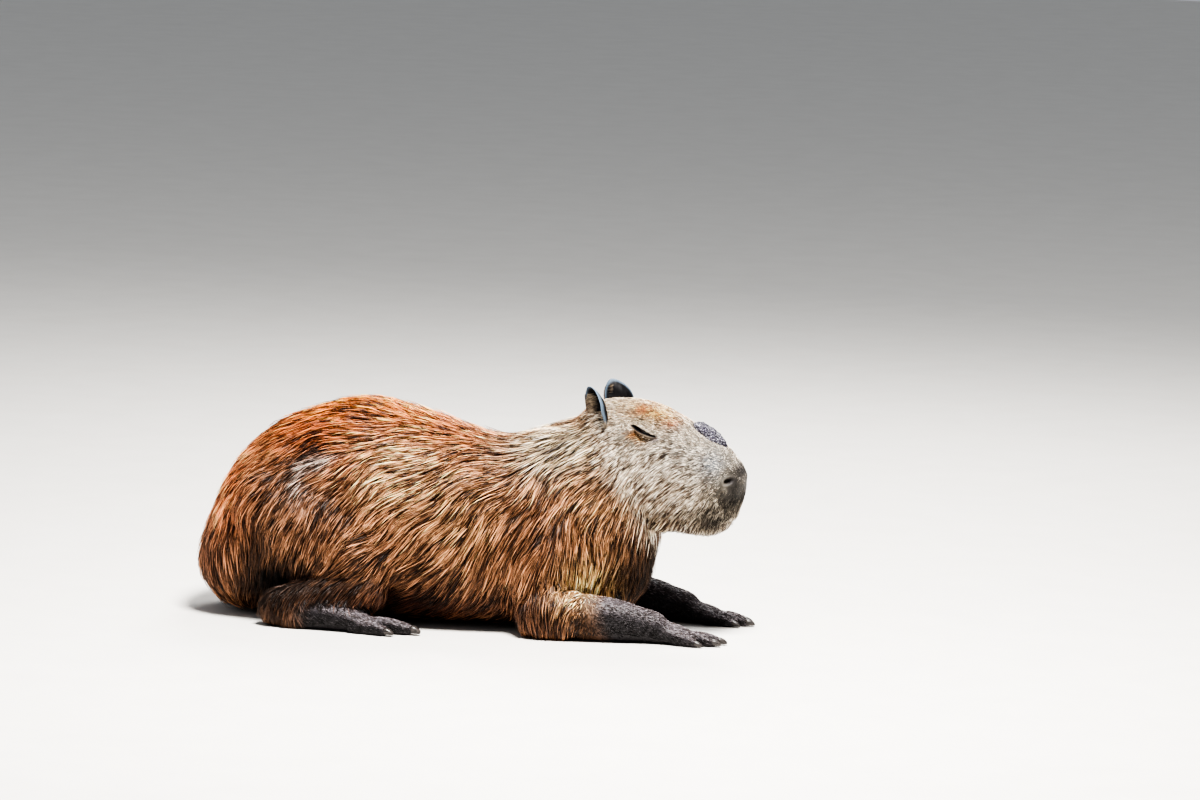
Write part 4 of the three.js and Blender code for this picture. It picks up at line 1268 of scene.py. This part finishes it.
def coat_object(name, batches, picks):
    """One mesh of the picked tufts of each batch."""
    points, faces, along, vary, tint, uvs, start = [], [], [], [], [], [], 0
    for batch, pick in zip(batches, picks):
        stack = batch.stack[pick]
        count, each = stack.shape[:2]
        chosen = (batch.pattern[None] + (start + np.arange(count) * each)[:, None, None]).reshape(-1, 3)
        offset = np.column_stack((batch.across, batch.along * 2 - 1)) * PATCH
        uvs.append((batch.uv[pick][:, None] + offset[None]).reshape(-1, 2))
        points.append(stack.reshape(-1, 3))
        faces.append(chosen)
        along.append(np.tile(batch.along, count))
        vary.append(np.repeat(batch.vary[pick], each))
        tint.append(np.repeat(batch.tint[pick], each, axis=0))
        start += count * each
    points, faces = np.vstack(points), np.vstack(faces)
    mesh = bpy.data.meshes.new(name)
    mesh.vertices.add(len(points))
    mesh.vertices.foreach_set("co", to_frame(points).astype(np.float32).ravel())
    mesh.loops.add(len(faces) * 3)
    mesh.loops.foreach_set("vertex_index", faces.astype(np.int32).ravel())
    mesh.polygons.add(len(faces))
    mesh.polygons.foreach_set("loop_start", np.arange(len(faces), dtype=np.int32) * 3)
    mesh.update(calc_edges=True)
    mesh.shade_smooth()
    value_attribute(mesh, "along", np.concatenate(along))
    value_attribute(mesh, "vary", np.concatenate(vary))
    colour_attribute(mesh, "tint", np.vstack(tint))
    placed = np.clip(np.vstack(uvs)[faces.ravel()], 0, 1)
    mesh.uv_layers.new(name="OFBake").uv.foreach_set("vector", placed.astype(np.float32).ravel())
    made = bpy.data.objects.new(name, mesh)
    bpy.context.collection.objects.link(made)
    print(name, len(faces), "triangles")
    return made

# %% [markdown]
# The coat takes the colour of the skin's patches. Two tones are laid over it: one for each tuft, from nearly
# black to pale, and one from its dark root to its light tip. A limit keeps the palest tips from glaring.

# %% Coat finish
def ramp(material, factor, stops):
    """A colour ramp with a grey or a colour at each place."""
    made = node(material, "ValToRGB", {"Fac": factor})
    elements = made.color_ramp.elements
    elements[0].position, elements[1].position = stops[0][0], stops[-1][0]
    elements[0].color, elements[1].color = (*stops[0][1], 1), (*stops[-1][1], 1)
    for place, colour in stops[1:-1]:
        elements.new(place).color = (*colour, 1)
    return made.outputs["Color"]


coat, coat_shader = new_material("coarse_coat", 0.42)
strand_tone = ramp(coat, carried(coat, "vary", "Fac"), (
    (0.0, (0.04, 0.022, 0.016)), (0.25, (0.2, 0.14, 0.11)), (0.55, (0.95, 0.92, 0.89)),
    (0.8, (1.7, 1.68, 1.66)), (1.0, (2.4, 2.4, 2.4))))
end_tone = ramp(coat, carried(coat, "along", "Fac"), (
    (0.0, (0.1, 0.08, 0.07)), (0.4, (0.66, 0.63, 0.61)), (1.0, (1.6, 1.62, 1.66))))
strand = mix(coat, "MULTIPLY", 1.0, carried(coat, "tint"), strand_tone)
strand = mix(coat, "MULTIPLY", 1.0, strand, end_tone)
PALEST = (0.92, 0.84, 0.74, 1)
link(coat, mix(coat, "DARKEN", 1.0, strand, PALEST), coat_shader.inputs["Base Color"])
print(len(coat.node_tree.nodes), "shader nodes in the coat")

# %% [markdown]
# A dense short layer and a thin long one cover the body. Short hair covers face and limbs, and fringes hang
# at belly, elbows and chin. One density for each layer says where it grows.

# %% Grow the coat
p = body_to_head(body.middles)
first_edge = body.corners[:, 1] - body.corners[:, 0]
second_edge = body.corners[:, 2] - body.corners[:, 0]
up_facing = unit_rows(np.cross(first_edge, second_edge))[:, 2]
face = on_head(body.middles)
bare = bare_share(body.middles)
hidden = (up_facing < -0.75) & (body.middles[:, 2] < 40)
x, y, z = mirrored(body.middles).T
limb = np.maximum(bare, arm_share(body.middles))
eye_along, eye_rise, eye_out = eye_coordinates(p)
lid_far = lid_distance(eye_along, eye_rise)
clear = (lid_far > 3.0) | (np.abs(eye_along) > SLIT_HALF + 2) | (eye_out < 0)
clear &= nostril_distance(p) > 1.5
gland_far = np.hypot((p[:, 0] - GLAND[0]) / 33, p[:, 1] / 19)
clear &= (gland_far > 0.97) | (p[:, 2] < 335)
pad = smoothstep(246, 262, p[:, 0]) * bump(np.abs(p[:, 2] - 282), 34)
body_density = (1 - face) * (1 - limb) * np.where(hidden, 0.1, 1)
face_density = face * clear * (1 - 0.75 * pad)
limb_density = limb * np.where(z < 5, 0, 1) * np.where(up_facing < -0.5, 0.2, 1)

body_clumps = clumps_on(body, 6200, body_density + 0.01)
face_clumps = clumps_on(body, 2600, face_density)
limb_clumps = clumps_on(body, 1500, limb_density)
SHORT, LONG = (0, 0.5), (0, 0.4, 0.75)
batches = [
    tufts(body, scatter(body, 54000, body_density), body_clumps, SHORT, 0.6, 0.034, 0.17),
    tufts(body, scatter(body, 14000, body_density), body_clumps, LONG, 0.7, 0.03, 0.2, 0.0, 1.35),
    tufts(body, scatter(body, 38000, face_density), face_clumps, SHORT, 0.3, 0.04, 0.13),
    tufts(body, scatter(body, 20000, limb_density), limb_clumps, SHORT, 0.2, 0.15, 0.16),
]
# The feet's hair is painted pale on the upper side and dark below: painted light from above and painted
# shade underneath.
batches[-1].tint *= (0.3 + 1.7 * smoothstep(0.1, 0.9, batches[-1].upward))[:, None]
batches[-1].vary = np.where(random.random(len(batches[-1].vary)) < 0.3, 0.9, 0.3)
fringe = np.exp(-(((z - 30) / 14) ** 2)) * (np.abs(up_facing) < 0.6) * (1 - limb) * (1 - face)
fringe += 2.0 * (x > 190) * (x < 300) * (y > 60) * bump(np.abs(z - 88), 16) * (1 - bare) * (1 - face)
batches.append(tufts(body, scatter(body, 3600, fringe), body_clumps, LONG, 0.2, 0.05, 0.2, 0.8))
chin = face * smoothstep(232, 206, z) * (up_facing < 0.0)
batches.append(tufts(body, scatter(body, 3000, chin), face_clumps, LONG, 0.1, 0.05, 0.25, 0.6, 1.3))
batches[-1].vary = np.where(random.random(len(batches[-1].vary)) < 0.4, 0.9, 0.25)
for side_name, side in SIDES:
    cup = surface_of(ears[side_name])
    from_middle = body_to_head(cup.middles) - EAR * (1, side, 1)
    ahead = from_middle @ (EAR_FRONT * (1, side, 1))
    outward_side = cup.normals[cup.triangles].mean(1)[:, 1] * side
    rear = smoothstep(-4, -13, ahead) * smoothstep(30, 18, from_middle[:, 2]) * (outward_side > 0)
    rear += smoothstep(-14, -24, from_middle[:, 2]) * (outward_side > 0)
    batches.append(tufts(cup, scatter(cup, 1500, rear), limb_clumps, SHORT, 0.0, 0.05, 0.14))
    batches[-1].tint *= 0.42
    batches[-1].vary = 0.3 + 0.35 * batches[-1].vary
print([len(batch.stack) for batch in batches], "tufts")

# %% [markdown]
# One mesh of all tufts would be too heavy. Each tuft goes to one of a few pieces by chance, so that every
# piece is spread over the whole animal.

# %% Share the tufts out
PIECE = 190_000
total = sum(len(batch.stack) * len(batch.pattern) for batch in batches)
count = math.ceil(total / PIECE)
lots = [random.integers(0, count, len(batch.stack)) for batch in batches]
for i in range(count):
    piece = coat_object(f"coat_{i + 1}", batches, [lot == i for lot in lots])
    piece.data.materials.append(coat)
    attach(piece, "root")
print(total, "triangles in the coat")

# %% [markdown]
# The skin covers the trunk, the head and the limbs without a gap. So it takes the place of all the packed
# solids of flesh at once.

# %% The skin takes the place of the flesh
flesh = ["torso", "shoulders", "neck", "head"]
limb_parts = ("haunch", "shank", "upper_arm", "forearm", "forefoot", "hindfoot")
for side_name, _ in SIDES:
    flesh += [f"{part}_{side_name}" for part in limb_parts]
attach(skin, "root")
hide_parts(*flesh)
print(len(flesh), "solids replaced by the skin")
